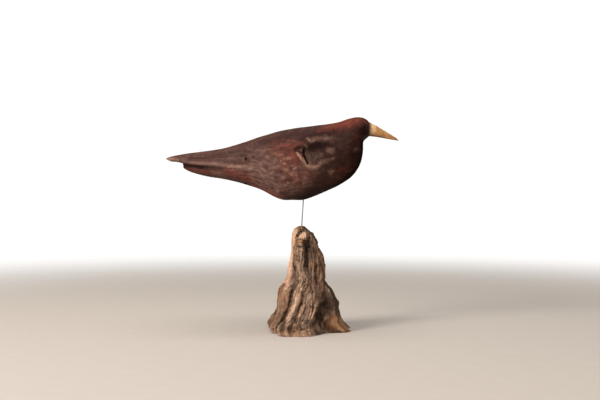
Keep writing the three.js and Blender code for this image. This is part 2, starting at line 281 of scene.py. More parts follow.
FLOOR_RADIUS = 1.6
rings, spokes = 24, 96
corners = [(0.0, 0.0, 0.0)]
for r in range(1, rings + 1):
    for s in range(spokes):
        turn = 2 * math.pi * s / spokes
        reach = FLOOR_RADIUS * r / rings
        corners.append((reach * math.cos(turn), reach * math.sin(turn), 0.0))
faces = [(0, 1 + s, 1 + (s + 1) % spokes) for s in range(spokes)]
for r in range(rings - 1):
    for s in range(spokes):
        a, b = 1 + r * spokes + s, 1 + r * spokes + (s + 1) % spokes
        faces.append((a, a + spokes, b + spokes, b))
floor_mesh = bpy.data.meshes.new("floor")
floor_mesh.from_pydata(corners, [], faces)
floor = bpy.data.objects.new("floor", floor_mesh)
bpy.context.scene.collection.objects.link(floor)

paper, add = new_material("pale_floor")
place = add("TexCoord").outputs["Object"]
away = add("VectorMath", {0: place}, operation="LENGTH").outputs["Value"]
fade = add("MapRange", {"Value": away, "From Min": 0.35, "From Max": 1.5}, interpolation_type="SMOOTHERSTEP")
speck = add("TexNoise", {"Vector": place, "Scale": 60.0, "Detail": 4.0}).outputs[0]
tone = mixed(add, speck, (0.54, 0.49, 0.44), (0.58, 0.53, 0.48))
matt = add("BsdfPrincipled", {"Base Color": tone, "Roughness": 0.8})
clear = add("BsdfTransparent")
both = add("MixShader", {0: fade.outputs[0], 1: matt.outputs[0], 2: clear.outputs[0]})
add("OutputMaterial", {"Surface": both.outputs[0]})
floor_mesh.materials.append(paper)
print("floor of", len(faces), "faces")

# %% [markdown]
# ## Where things are on the side that is seen
# Knots, cracks and worn places are set out on a drawing of the carving seen from the
# front, on squares of 1.12 mm: column from the left and row from the top. A mark is a
# line drawn through some squares, or an oval, with a ragged edge. It is then laid on
# the wood by looking up where each point of the mesh falls on the drawing.

# %% Marks on the drawing
SQUARE = 1.12
ZERO_COLUMN, ZERO_ROW = 308, 330


def on_drawing(points):
    """Column and row for places in mm, as the eye sees them on the upright middle plane."""
    scale = EYE[1] / (EYE[1] - points[:, 1])
    across = EYE[0] + (points[:, 0] - EYE[0]) * scale
    up = EYE[2] + (points[:, 2] - EYE[2]) * scale
    return np.column_stack((ZERO_COLUMN + across / SQUARE, ZERO_ROW - up / SQUARE))


def edge_noise(squares, size, seed):
    return noise(np.column_stack((squares, np.zeros(len(squares)))), size, seed)


def line_mark(squares, line, width, ragged=0.3, soft=0.5, seed=0):
    """1 along a line that is this wide to each side of its middle, and 0 away from it.
    Two widths are those at its start and end."""
    first, last = width if isinstance(width, tuple) else (width, width)
    away = np.full(len(squares), 1e9)
    for n, (a, b) in enumerate(zip(line, line[1:])):
        a, b = np.array(a, float), np.array(b, float)
        way = b - a
        t = np.clip((squares - a) @ way / (way @ way), 0, 1)
        there = np.linalg.norm(squares - a - t[:, None] * way, axis=1)
        half = first + (last - first) * (n + t) / (len(line) - 1)
        away = np.minimum(away, there / half)
    away = away + ragged * edge_noise(squares, 2.2, seed) + ragged * edge_noise(squares, 0.9, seed + 5)
    return 1 - smoothstep(away, 1 - soft, 1 + soft)


def oval_mark(squares, middle, radii, turn=0, ragged=0.2, soft=0.5, seed=0):
    """1 inside an oval, turned by degrees, and 0 outside."""
    c, s = math.cos(math.radians(turn)), math.sin(math.radians(turn))
    d = squares - np.array(middle, float)
    u, v = (d[:, 0] * c + d[:, 1] * s) / radii[0], (d[:, 1] * c - d[:, 0] * s) / radii[1]
    away = np.hypot(u, v) + ragged * edge_noise(squares, 3.5, seed) + ragged * edge_noise(squares, 1.3, seed + 5)
    return 1 - smoothstep(away, 1 - soft, 1 + soft)


def painted(squares, marks):
    """The strongest of several marks: each is (strength, kind, its own values)."""
    total = np.zeros(len(squares))
    for n, (strong, how, *values) in enumerate(marks):
        settings = values.pop() if isinstance(values[-1], dict) else {}
        total = np.maximum(total, strong * how(squares, *values, seed=n + 11, **settings))
    return total


# %% Helpers for meshes
def mesh_from_grid(name, grid, first_cap, last_cap):
    """A closed mesh from rings of places in mm. The caps are further rings that close
    the two ends, each ending in one middle point."""
    count, around = grid.shape[:2]
    points = [grid.reshape(-1, 3)]
    faces = []

    def join(inner, outer):
        nxt = np.roll(np.arange(around), -1)
        faces.append(np.column_stack((inner, outer, outer[nxt], inner[nxt])))

    index = np.arange(count * around).reshape(count, around)
    for i in range(count - 1):
        join(index[i], index[i + 1])
    total = count * around
    fans = []
    for cap, edge, turn in ((first_cap, index[0], -1), (last_cap, index[-1], 1)):
        rings, middle = cap
        for ring in rings:
            here = np.arange(total, total + around)
            points.append(ring)
            if turn > 0:
                join(edge, here)
            else:
                join(here, edge)
            edge = here
            total += around
        points.append(np.array(middle, float)[None])
        nxt = np.roll(edge, -1)
        hub = np.full(around, total)
        fans.append(np.column_stack((edge, hub, nxt) if turn > 0 else (hub, edge, nxt)))
        total += 1
    mesh = bpy.data.meshes.new(name)
    quads = [tuple(f) for f in np.vstack(faces).tolist()]
    triangles = [tuple(f) for f in np.vstack(fans).tolist()]
    mesh.from_pydata((np.vstack(points) * MM).tolist(), [], quads + triangles)
    mesh.validate()
    mesh.update()
    thing = bpy.data.objects.new(name, mesh)
    bpy.context.scene.collection.objects.link(thing)
    return thing


def carry(thing, name, values):
    """Lays a number, or three, on every point of a mesh."""
    kind = "FLOAT" if values.ndim == 1 else "FLOAT_VECTOR"
    layer = thing.data.attributes.new(name, kind, "POINT")
    key = "value" if values.ndim == 1 else "vector"
    layer.data.foreach_set(key, np.ascontiguousarray(values, np.float32).ravel())


def cut(thing, cutter):
    """Cuts one closed mesh from another for good."""
    step = thing.modifiers.new("cut", "BOOLEAN")
    step.operation = "DIFFERENCE"
    step.solver = "MANIFOLD"
    step.object = cutter
    ready = bpy.context.evaluated_depsgraph_get()
    made = bpy.data.meshes.new_from_object(thing.evaluated_get(ready))
    thing.modifiers.clear()
    old = thing.data
    thing.data = made
    made.name = old.name
    bpy.data.meshes.remove(old)
    bpy.data.objects.remove(cutter)


def places_of(thing):
    """The points of a mesh, in mm."""
    co = np.zeros(len(thing.data.vertices) * 3, np.float32)
    thing.data.vertices.foreach_get("co", co)
    return co.reshape(-1, 3).astype(float) / MM


def moved_to_mesh(thing, places, *fields):
    """Reads fields that were worked out at some places at the points of a mesh nearby."""
    tree = KDTree(len(places))
    for i, p in enumerate(places.tolist()):
        tree.insert(p, i)
    tree.balance()
    nearest = [tree.find(p)[1] for p in places_of(thing).tolist()]
    return [field[nearest] for field in fields]


def outward(grid):
    """The direction straight out of the surface at each point of a grid of rings."""
    lengthways = np.gradient(grid, axis=0)
    around = np.roll(grid, -1, axis=1) - np.roll(grid, 1, axis=1)
    way = np.cross(around, lengthways)
    size = np.linalg.norm(way, axis=2, keepdims=True)
    return way / np.maximum(size, 1e-9)


def dress(thing, node, material):
    """Sets a piece in the place of its solid, with its finish."""
    thing.data.materials.clear()
    thing.data.materials.append(material)
    thing.data.shade_smooth()
    thing.data.set_sharp_from_angle(angle=math.radians(52))
    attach(thing, "root")
    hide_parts(node)
    low, high = places_of(thing).min(0), places_of(thing).max(0)
    print(node, len(thing.data.polygons), "faces, from", low.round(1), "to", high.round(1), "mm")


# %% [markdown]
# ## The bird's form
# The bird is one piece of wood with smooth, full sections. It is drawn as a side
# outline, the back and the underside, and a table of half widths. Each section is
# a rounded shape between an ellipse and a rectangle, squarer at the tail. The tail
# has two layers, and the lower one stops short in a blunt step, so the underside is
# drawn as two curves with the step between them.

# %% The bird's lines
BACK_LINE = [
    (-158.6, 192.2), (-154.6, 193.8), (-138.9, 197.0), (-114.2, 200.3), (-91.8, 204.1),
    (-71.7, 210.2), (-53.8, 216.3), (-33.6, 222.0), (-9.0, 226.7), (15.7, 229.8),
    (33.6, 232.8), (44.8, 236.4), (53.8, 238.6), (60.5, 238.1), (65.2, 236.0), (68.1, 233.2),
]
UPPER_TAIL_UNDERSIDE = [(-158.6, 191.4), (-153.4, 188.8), (-146.7, 188.2), (-139.2, 186.4)]
BELLY_LINE = [
    (-138.7, 180.9), (-132.2, 177.4), (-114.2, 172.4), (-94.1, 168.7), (-76.2, 165.1),
    (-60.5, 160.0), (-49.3, 155.2), (-38.1, 149.4), (-28.0, 146.0), (-17.9, 145.8),
    (-6.7, 145.5), (4.5, 148.7), (20.2, 155.3), (33.6, 161.5), (47.0, 170.1),
    (54.9, 179.2), (59.4, 188.2), (61.4, 199.4), (61.2, 207.2), (62.1, 211.0),
    (65.0, 214.2), (68.1, 216.3),
]
HALF_WIDTHS = [
    (0, 2.6), (0.025, 6.4), (0.09, 10), (0.2, 14), (0.32, 19.5), (0.45, 26.5), (0.58, 31.2),
    (0.68, 32.2), (0.77, 30), (0.85, 24.6), (0.91, 19.6), (0.96, 15.2), (1, 8.2),
]
TAIL_GROOVE = [(-141.0, 185.4), (-127.0, 182.9), (-112.0, 181.5), (-93.0, 182.3)]
TAIL_TIP, BEAK_SEAT = BACK_LINE[0][0], BACK_LINE[-1][0]

back_line = smooth_line(BACK_LINE)
upper_underside = smooth_line(UPPER_TAIL_UNDERSIDE)
below_line = np.vstack((upper_underside, smooth_line(BELLY_LINE)))
before_step = np.linalg.norm(np.diff(upper_underside, axis=0), axis=1).sum()
below_length = np.linalg.norm(np.diff(below_line, axis=0), axis=1).sum()
step_height = np.linalg.norm(np.subtract(UPPER_TAIL_UNDERSIDE[-1], BELLY_LINE[0]))
step_start = before_step / below_length
step_end = (before_step + step_height) / below_length
print("the tail's step lies between shares", round(step_start, 4), "and", round(step_end, 4))

# %% The bird's sections
HALF_RING = 110
stations = np.concatenate((
    np.linspace(0, step_start, 34),
    np.linspace(step_start, step_end, 9)[1:],
    np.linspace(step_end, 1, 376)[1:],
))
top = along_line(back_line, stations)[:, None]
bottom = along_line(below_line, stations)[:, None]
half_width = value_at(HALF_WIDTHS, stations)[:, None]
squareness = (2.9 + (2.15 - 2.9) * smoothstep(stations, 0.15, 0.45))[:, None]

angle = np.linspace(0, math.pi, 400)[None]
rise = np.sign(np.cos(angle)) * np.abs(np.cos(angle)) ** (2 / squareness)
out = np.abs(np.sin(angle)) ** (2 / squareness)
side_x = (top[..., 0] + bottom[..., 0]) / 2 + rise * (top[..., 0] - bottom[..., 0]) / 2
side_z = (top[..., 1] + bottom[..., 1]) / 2 + rise * (top[..., 1] - bottom[..., 1]) / 2
below_groove = smoothstep(value_at(TAIL_GROOVE, side_x) - side_z, -0.8, 0.8)
inset = 1.9 * below_groove * np.maximum(0, 1 - stations[:, None] / 0.3)
side_y = out * (half_width * (1 - 0.07 * rise) - inset)

front_half = np.stack((side_x, -side_y, side_z), axis=2)
evenly = np.linspace(0, 1, HALF_RING + 1)
front_half = np.array([along_line(row, evenly) for row in front_half])
back_half = front_half[:, -2:0:-1] * (1, -1, 1)
bird_grid = np.concatenate((front_half, back_half), axis=1)
bird_out = outward(bird_grid)
print("sections:", bird_grid.shape[0], "with", bird_grid.shape[1], "points each")

# %% [markdown]
# ## How the grain runs in the bird
# The grain follows the bird from tail to breast, closing up where the body is
# narrow. Round the knot the fibres part and flow past, as they do in a tree round an
# old branch. Each point of the mesh gets its place in this wood: how far along the
# fibre it is, and two numbers across it. All streaks and cracks are made from that.

# %% Grain of the bird
KNOT = (308.5, 157.5)

points = bird_grid.reshape(-1, 3)
drawn = on_drawing(points)
front = (points[:, 1] < 0).astype(float)
near_side = smoothstep(-points[:, 1], -1.0, 2.0)
far_side = 1 - near_side

share_along = np.repeat(stations, bird_grid.shape[1])
share_round = np.tile(np.concatenate((evenly, evenly[-2:0:-1])), bird_grid.shape[0])
across = share_round * 95  # mm, the depth of the bird's side where it is fullest
from_knot = drawn - np.array(KNOT)
far = (from_knot[:, 0] / 17) ** 2 + (from_knot[:, 1] / 13) ** 2
across = across - 0.9 * SQUARE * from_knot[:, 1] * np.exp(-far) * near_side
sway = 3.0 * noise(points, 34, seed=3)
bird_grain = np.column_stack((share_along * 260, across + sway, points[:, 1] * 0.25))
print("grain across the body runs from", across.min().round(1), "to", across.max().round(1))

# %% [markdown]
# ## Relief of the bird
# Seen close, the wood is not smooth. It has shallow flats from the knife, fine
# raised grain from years of weather, a few open cracks, and the scar of a knot with
# a crack across it. They are worked out as one height at each point, in mm, and the
# mesh is pushed in and out by it.


# %% Height of the bird's surface
def streaks(along, across, seed, layers=2):
    """Noise that is long in the grain's direction and narrow across it."""
    return layered(bird_grain, np.array([along, across, 6.0]), seed, layers)


thick = smoothstep(np.repeat(half_width[:, 0], bird_grid.shape[1]), 5, 20)
tailward = 1 - smoothstep(share_along, 0.2, 0.55)

height = 0.34 * thick * noise(points, 24, 1) + 0.16 * thick * noise(points, 11, 2)
height += 0.12 * streaks(34, 8, 4) * (0.4 + 0.6 * thick)
height += (0.02 + 0.06 * tailward) * streaks(22, 1.5, 5)

open_crack = 1 - smoothstep(np.abs(streaks(46, 5.0, 6)), 0.012, 0.05)
open_crack = open_crack * smoothstep(noise(points, 30, 7), 0.12, 0.4) * (0.25 + 0.75 * tailward)
height -= 0.45 * open_crack * smoothstep(share_along, 0.03, 0.12)

groove_away = np.abs(points[:, 2] - value_at(TAIL_GROOVE, points[:, 0]) - 0.4)
groove_along = smoothstep(points[:, 0], -140, -134) * (1 - smoothstep(points[:, 0], -122, -94))
steep = np.abs(bird_out.reshape(-1, 3)[:, 1])
groove = np.exp(-((groove_away / 1.25) ** 2)) * groove_along * smoothstep(steep, 0.3, 0.8)
height -= 1.7 * groove
ledge = np.exp(-(((groove_away - 3.2) / 1.6) ** 2)) * (points[:, 2] > value_at(TAIL_GROOVE, points[:, 0]))
height += 0.25 * ledge * groove_along

# %% The knot, the small holes and the flecks
KNOT_CRACK = [(305.0, 147.6), (303.6, 152.0), (304.2, 156.0), (305.4, 159.4), (308.0, 163.4)]
LENS_EDGES = [
    [(295.0, 150.0), (297.8, 148.2), (301.4, 147.6), (304.6, 147.8)],
    [(295.6, 150.8), (298.6, 152.2), (302.6, 152.6)],
]
KNOT_LIP = [(297.0, 152.4), (298.9, 155.2), (300.8, 158.0), (303.4, 160.2)]
LOW_LIP = [(304.3, 162.0), (306.6, 165.0), (310.4, 167.5)]
KNOT_FOOT = [(312.6, 167.2), (316.0, 167.4), (318.8, 165.8), (321.4, 162.6)]
SMALL_HOLES = [  # strength, place, radii, turn
    (1.0, (246.0, 159.2), (1.9, 1.15), 112), (0.45, (253.8, 157.2), (1.1, 0.8), 100),
    (0.3, (258.2, 154.8), (1.8, 0.8), -20), (0.3, (240.8, 154.2), (1.0, 0.8), 90),
    (0.35, (273.4, 188.2), (2.2, 0.7), 8), (0.3, (267.0, 169.2), (1.0, 1.4), 0),
]
FLECKS = [
    ((287.6, 158.2), (3.2, 1.5), -5), ((284.2, 163.7), (1.5, 0.8), 0), ((290.4, 162.2), (1.1, 0.6), 20),
    ((291.6, 165.6), (1.5, 0.7), 25), ((286.4, 169.7), (2.3, 0.8), 0), ((294.7, 168.2), (1.8, 0.8), -25),
    ((271.2, 173.3), (2.2, 0.9), -38), ((265.2, 170.6), (1.0, 0.7), -30), ((296.4, 175.6), (0.9, 0.6), 0),
    ((285.2, 185.2), (1.4, 0.9), -10), ((287.9, 182.8), (0.9, 0.7), 60), ((277.2, 191.6), (1.5, 0.8), 0),
    ((281.0, 160.8), (1.0, 0.5), 0), ((304.6, 177.4), (1.1, 0.7), -40), ((277.6, 166.4), (1.2, 0.5), -10),
    ((291.0, 174.8), (1.1, 0.5), 0), ((299.2, 166.2), (0.9, 0.6), 30), ((283.0, 178.0), (1.6, 0.5), -15),
]

crack = line_mark(drawn, KNOT_CRACK, (1.25, 0.7), 0.3, 0.6, 21)
for n, edge in enumerate(LENS_EDGES):
    crack = np.maximum(crack, 0.5 * line_mark(drawn, edge, 0.9, 0.35, 0.8, 26 + n))
crack = crack * near_side
lip = line_mark(drawn, KNOT_LIP, (1.1, 1.4), 0.25, 0.7, 22)
lip = np.maximum(lip, line_mark(drawn, LOW_LIP, 1.0, 0.25, 0.7, 25))
lip = np.maximum(lip, 0.5 * line_mark(drawn, KNOT_FOOT, (1.8, 1.2), 0.3, 0.8, 28)) * near_side
bowl = oval_mark(drawn, (312, 157), (7.5, 8.5), -15, 0.12, 0.6, 23) * near_side
notch = oval_mark(drawn, (316.5, 145.2), (10, 3.6), -8, 0.2, 0.7, 24) * near_side
ring_turn = np.arctan2(drawn[:, 1] - 146, drawn[:, 0] - 300)
ring_lines = noise(np.column_stack((ring_turn * 22, np.hypot(*(drawn - (300, 146)).T) / 9, 0 * front)), 1.0, 8)
holes = np.zeros(len(points))
for n, (strong, middle, radii, turn) in enumerate(SMALL_HOLES):
    holes = np.maximum(holes, strong * oval_mark(drawn, middle, radii, turn, 0.3, 0.6, 31 + n))
holes = holes * near_side
flecks = np.zeros(len(points))
for n, (middle, radii, turn) in enumerate(FLECKS):
    flecks = np.maximum(flecks, oval_mark(drawn, middle, radii, turn, 0.35, 0.85, 51 + n))
flecks = flecks * near_side

height -= 1.1 * bowl + 0.7 * notch + 1.9 * crack + 1.5 * holes
height += 0.55 * lip * (1 - crack) + 0.3 * bowl * ring_lines
height -= 0.22 * flecks

back_knot = np.hypot((points[:, 0] + 26) / 10, (points[:, 2] - 198) / 7)
back_knot = (1 - smoothstep(back_knot, 0.2, 1.1)) * far_side
height -= 1.0 * back_knot
height += 0.3 * back_knot * noise(points, (2.5, 2.5, 2.5), 9)

near_step = np.minimum(np.abs(share_along - step_start), np.abs(share_along - step_end))
near_ends = smoothstep(near_step, 0.0, 0.01) * smoothstep(share_along, 0, 0.012)
height = height * (0.25 + 0.75 * near_ends)
to_seat = (1 - share_along) * 250
height -= 0.7 * (1 - np.sqrt(1 - np.clip(1 - to_seat / 1.1, 0, 1) ** 2))
print("relief of the bird:", height.min().round(2), "to", height.max().round(2), "mm")

# %% [markdown]
# ## The bird's mesh
# The grid of rings becomes a closed mesh. The beak's socket and the wire's hole are
# then cut as a maker cuts them, with a shape and a drill that are a little larger
# than what goes in.

# %% The beak's and the wire's forms
BEAK_SECTIONS = [
    (65.9, 234.2, 216.9, 6.9), (69.4, 232.2, 217.0, 6.5), (76.2, 228.9, 216.2, 5.3),
    (85.1, 223.5, 214.7, 3.9), (94.1, 218.1, 213.1, 2.4), (98.6, 215.3, 212.4, 1.5),
    (101.3, 212.6, 211.9, 0.5),
]
WIRE_ROUTE = [(-7.5, 0, 104), (-7, 0, 116), (-6.4, 0, 128), (-5.5, 0, 141), (-5, 0, 157)]
WIRE_RADIUS = 0.6
FIT_GAP = 0.3


def beak_rings(places, around, margin=0.0, facets=12):
    """The beak's sections at places along it: flats between a few corners."""
    x, upper, lower, half = (np.interp(places, [r[0] for r in BEAK_SECTIONS], column)
                             for column in zip(*BEAK_SECTIONS))
    corner = 2 * math.pi * (np.arange(facets + 1) + 0.5) / facets
    up = np.sign(np.cos(corner)) * np.abs(np.cos(corner)) ** 0.8
    side = np.sign(np.sin(corner)) * np.abs(np.sin(corner)) ** 0.8
    spread = np.linspace(0, facets, around, endpoint=False)
    up, side = np.interp(spread, range(facets + 1), up), np.interp(spread, range(facets + 1), side)
    y = side[None] * (half[:, None] + margin)
    z = ((upper + lower) / 2)[:, None] + up[None] * ((upper - lower)[:, None] / 2 + margin)
    return np.stack((np.repeat(x[:, None], around, 1), -y, z), axis=2)


def tube_rings(line, radius, around):
    """Rings round a line that runs upwards."""
    way = np.gradient(line, axis=0)
    way /= np.linalg.norm(way, axis=1, keepdims=True)
    side = np.cross(way, (0, 1, 0))
    side /= np.linalg.norm(side, axis=1, keepdims=True)
    other = np.cross(way, side)
    turn = np.linspace(0, 2 * math.pi, around, endpoint=False)[None, :, None]
    return line[:, None] + radius * (np.cos(turn) * side[:, None] - np.sin(turn) * other[:, None])


wire_line = along_line(smooth_line(WIRE_ROUTE), np.linspace(0, 1, 90))


def drill(name):
    line = wire_line.copy()
    line[0, 2] -= FIT_GAP
    line[-1, 2] += FIT_GAP
    rings = tube_rings(line, WIRE_RADIUS + FIT_GAP, 20)
    return mesh_from_grid(name, rings, ([], line[0]), ([], line[-1]))


# %% Build and cut the bird
shaped = bird_grid + bird_out * height.reshape(bird_grid.shape[:2] + (1,))
tip_middle, seat_middle = shaped[0].mean(0), shaped[-1].mean(0)
seat_rings = [seat_middle + (shaped[-1] - seat_middle) * k for k in (0.94, 0.88, 0.8)]
bird = mesh_from_grid("carved_bird", shaped, ([], tip_middle), (seat_rings, seat_middle))
socket_rings = beak_rings(np.linspace(65.9, 76.2, 8), 48, FIT_GAP)
socket_rings[0, :, 0] -= FIT_GAP
socket = mesh_from_grid("socket", socket_rings, ([], socket_rings[0].mean(0)), ([], socket_rings[-1].mean(0)))
cut(bird, socket)
cut(bird, drill("bird_drill"))
print("bird:", len(bird.data.vertices), "points after cutting")

# %% [markdown]
# ## Colours of the bird
# The wood is a dark brown that turns red-brown on the head and nape, near black on
# the back, and grey-brown towards the tail, where it has weathered most. Pale flecks
# and the knot's rim show bare wood. Light and shade are painted into the colour too:
# painted shade makes the breast and belly near black and darkens the tail's groove and
# lower edge; painted highlights lie along the nape, the tail's top edge and the ridge
# over the groove; the lower left of the body is painted lighter, as if lit; and a
# painted warm reflection lies on the rear of the belly. Each of these is one mask on
# the mesh, and the material mixes its colours by them.

# %% Where the bird is red, black, grey and bare, and where light and shade are painted
S = line_mark
O = oval_mark
# Red-brown wood on the head and body, with a painted highlight along the nape and a painted warm reflection on the
# rear of the belly.
RUDDY_AND_LIT = [
    (1.0, O, (347, 123), (20, 6), -14, {"soft": 0.7}),
    # red-brown nape, partly a painted highlight where its top catches the light
    (0.9, S, [(318, 131.4), (334, 127.6), (350, 121.5), (359, 121)], (1.6, 4.5), {"soft": 0.7}),
    (0.5, O, (285, 156), (17, 13), 0, {"soft": 0.9}),
    (0.55, S, [(288, 147), (292, 156), (296, 166)], 4.0, {"soft": 0.9}),
    (0.4, O, (296, 146), (6, 4), 0, {"soft": 0.9}),
    # painted warm reflection on the rear of the belly, light thrown up from below
    (1.0, S, [(252, 185.6), (266, 191.6), (281, 198.8)], (1.5, 2.6), {"soft": 0.8}),
    (0.6, S, [(226, 171), (238, 174), (252, 179)], (3, 3.5), {"soft": 0.9}),
    (0.35, S, [(186, 168), (202, 171.6), (214, 172)], (1.6, 2.4), {"soft": 0.9}),
    (0.5, O, (345, 171), (14, 6), -38, {"soft": 0.9}),
    (0.45, O, (334, 182), (14, 3), -25, {"soft": 0.9}),
    (0.4, O, (356, 146), (5, 18), 5, {"soft": 0.9}),
    (0.4, O, (298, 176), (16, 8), 0, {"soft": 0.9}),
]
# Near black: the knot and some dark wood, and painted shade on the breast, the belly and the tail's groove and lower
# edge.
SOOT_AND_SHADE = [
    (0.95, O, (317, 145.5), (15, 6), -8, {"soft": 0.8}),
    (0.7, O, (299, 148.6), (6, 2.6), -12, {"soft": 0.8}),
    (0.6, O, (297.6, 151.8), (3.4, 1.6), 20, {"soft": 0.8}),
    (0.4, O, (301.6, 165), (3.6, 5), 0, {"soft": 0.9}),
    (0.55, O, (343, 134), (11, 8), 10, {"soft": 0.9}),
    (0.55, O, (343.6, 134.5), (5.5, 9), 0, {"soft": 0.9, "ragged": 0.4}),
    (0.8, O, (322, 135), (26, 5), -9, {"soft": 0.9}),
    # painted shade on the breast, which faces away from the window
    (0.62, O, (338, 158), (20, 18), 20, {"soft": 0.9}),
    (0.5, O, (320, 178), (12, 7), -8, {"soft": 0.9}),
    (0.5, S, [(262, 144), (288, 136), (310, 132), (334, 132)], 4, {"soft": 0.9}),
    # painted shade along the belly and the front of the breast (this line and the next)
    (1.0, S, [(287, 201.5), (305, 200), (323, 195), (342, 185), (357, 170)], (2.6, 7.5), {"soft": 0.9}),
    (1.0, S, [(357, 171), (361.5, 156), (362, 141)], (5, 2.6), {"soft": 0.9}),
    # painted shade on the breast
    (0.85, O, (356, 152), (10, 26), 4, {"soft": 0.9}),
    (0.85, O, (362, 131), (9, 8), 10, {"soft": 0.8}),
    # painted shadow in the tail's groove, under the ledge (this line and the next)
    (0.85, S, [(184, 165.4), (203, 168.0)], (1.5, 1.1), {"soft": 0.8}),
    (0.4, S, [(203, 168), (222, 168.8)], 1.3, {"soft": 0.9}),
    (0.5, S, [(190, 158), (214, 157), (240, 152)], 2.2, {"soft": 0.9}),
    # painted shade along the lower edge of the tail
    (1.0, S, [(192, 173.6), (214, 178.4), (232, 181.6), (246, 184.4)], (0.8, 1.5), {"soft": 0.7}),
    (0.6, O, (244, 153.6), (7, 3.4), -18, {"soft": 0.9}),
    (0.5, O, (257, 147), (6, 2.4), -14, {"soft": 0.9}),
]
# Grey-brown weathered wood on the tail and in the knot, and painted light: a painted highlight on the ridge over the
# tail's groove, and the lower left of the body painted lighter, as if lit from the left and below.
GREYED_AND_LIT = [
    (0.8, S, [(170, 159.5), (182, 160)], (1.6, 2.6), {"soft": 0.9}),
    (0.55, S, [(186, 158.5), (214, 158), (236, 155), (262, 150)], (3, 6), {"soft": 0.9}),
    # painted highlight on the ridge over the tail's groove
    (0.9, S, [(190, 162.4), (221, 164.0), (246, 167.2), (262, 170)], (1.4, 2.6), {"soft": 0.8}),
    # painted light on the lower left of the body (this line and the next five)
    (0.9, O, (266, 164), (14, 9), -12, {"soft": 0.9}),
    (1.0, O, (266, 181), (18, 7), 32, {"soft": 0.9}),
    (0.6, O, (290, 188), (12, 6), 10, {"soft": 0.9}),
    (0.3, O, (238, 172), (14, 4), 12, {"soft": 0.9}),
    (0.4, O, (310, 178), (7, 8), 20, {"soft": 0.9}),
    (0.9, O, (277, 175), (7, 5), 10, {"soft": 0.9}),
    (0.6, O, (312, 157), (5.5, 8), 0, {"soft": 0.8}),
    (1.0, O, (301.4, 150.4), (2.4, 1.3), 5, {"soft": 0.7}),
    # painted light on the lower middle of the body
    (0.35, O, (300, 172), (18, 8), 0, {"soft": 0.9}),
    (0.6, O, (217, 172), (6, 3), 10, {"soft": 0.9}),
]
# Bare, worn wood, and painted highlights along the lower edge of the tail's upper layer.
WORN_AND_LIT = [
    (0.85, S, KNOT_LIP, (1.0, 1.7), {"ragged": 0.45, "soft": 0.75}),
    (0.5, S, LOW_LIP, (1.3, 1.7), {"ragged": 0.45, "soft": 0.9}),
    (0.45, S, KNOT_FOOT, (2.2, 1.6), {"ragged": 0.4, "soft": 0.9}),
    (0.24, S, [(322.4, 161.4), (326, 160.8), (329.4, 159.6), (333, 158.2)], (1.9, 1.2), {"ragged": 0.5, "soft": 0.9}),
    (0.24, S, [(309.2, 163.4), (313.6, 159.4), (317, 157), (321, 154)], (1.7, 1.3), {"ragged": 0.5, "soft": 0.9}),
    (0.36, S, [(307.8, 138.6), (310.8, 141.4), (314.0, 140.4)], (1.3, 1.1), {"ragged": 0.4, "soft": 0.9}),
    (0.22, S, [(313, 139.4), (319, 138.4), (326, 137.6)], (2.0, 2.4), {"ragged": 0.4, "soft": 0.9}),
    (0.32, O, (326.0, 138.0), (4.2, 2.2), -10, {"ragged": 0.4, "soft": 0.9}),
    (0.30, O, (330.8, 150.4), (3.6, 2.3), -4, {"ragged": 0.4, "soft": 0.9}),
    # painted highlight on the ridge over the tail's groove
    (0.14, S, [(186, 162.4), (204, 163.8), (224, 164.8)], 1.7, {"ragged": 0.5, "soft": 0.9}),
    (0.5, O, (330.2, 172.4), (2.0, 1.6), 40, {"ragged": 0.4, "soft": 0.9}),
    (0.4, O, (333.2, 171.2), (1.6, 1.3), 0, {"ragged": 0.4, "soft": 0.9}),
    (0.28, S, [(305.8, 178.2), (303.4, 180.4), (303.8, 183.6)], (1.7, 1.3), {"ragged": 0.5, "soft": 0.9}),
    (0.2, O, (305.5, 145.9), (1.5, 1.7), 30, {"ragged": 0.4, "soft": 0.9}),
    (0.18, O, (355.3, 149.6), (2.8, 2.4), 0, {"ragged": 0.4, "soft": 0.9}),
    # painted highlight along the lower edge of the tail's upper layer
    (0.3, S, [(228, 166.6), (240, 167.2), (250, 167.8)], (1.3, 1.5), {"ragged": 0.5, "soft": 0.9}),
    (0.6, S, [(168, 158.9), (172, 159.4), (177, 160.2)], (1.2, 1.4), {"ragged": 0.3, "soft": 0.9}),
]

height_field = (height - 0.34 * thick * noise(points, 24, 1)).astype(float)
seat_points = np.vstack([shaped.reshape(-1, 3), tip_middle[None], *seat_rings, seat_middle[None]])
extra = len(seat_points) - len(points)


def padded(field):
    """The fields of the grid, with the last value repeated for the caps' points."""
    return np.concatenate((field, np.repeat(field[-1:], extra, axis=0)))


ruddy_and_lit = painted(drawn, RUDDY_AND_LIT) * near_side
soot_and_shade = painted(drawn, SOOT_AND_SHADE) * near_side
greyed_and_lit = painted(drawn, GREYED_AND_LIT) * near_side
worn_and_lit = np.maximum(painted(drawn, WORN_AND_LIT) * near_side, 0.66 * flecks)

broad = layered(points, 30, 61)
head_red = smoothstep(points[:, 0] + 0.9 * points[:, 2], 236, 262) * smoothstep(points[:, 2], 205, 226)
underneath = smoothstep(-bird_out.reshape(-1, 3)[:, 2], 0.35, 0.95)
ruddy_and_lit = np.maximum(ruddy_and_lit, far_side * (0.9 * head_red + 0.5 * smoothstep(broad, 0.0, 0.5)))
soot_and_shade = np.maximum(soot_and_shade, far_side * 0.7 * smoothstep(-broad, 0.0, 0.5))
# painted shade on the underside, where the points face downwards
soot_and_shade = np.maximum(soot_and_shade, 0.8 * underneath * smoothstep(points[:, 0], -40, 0))
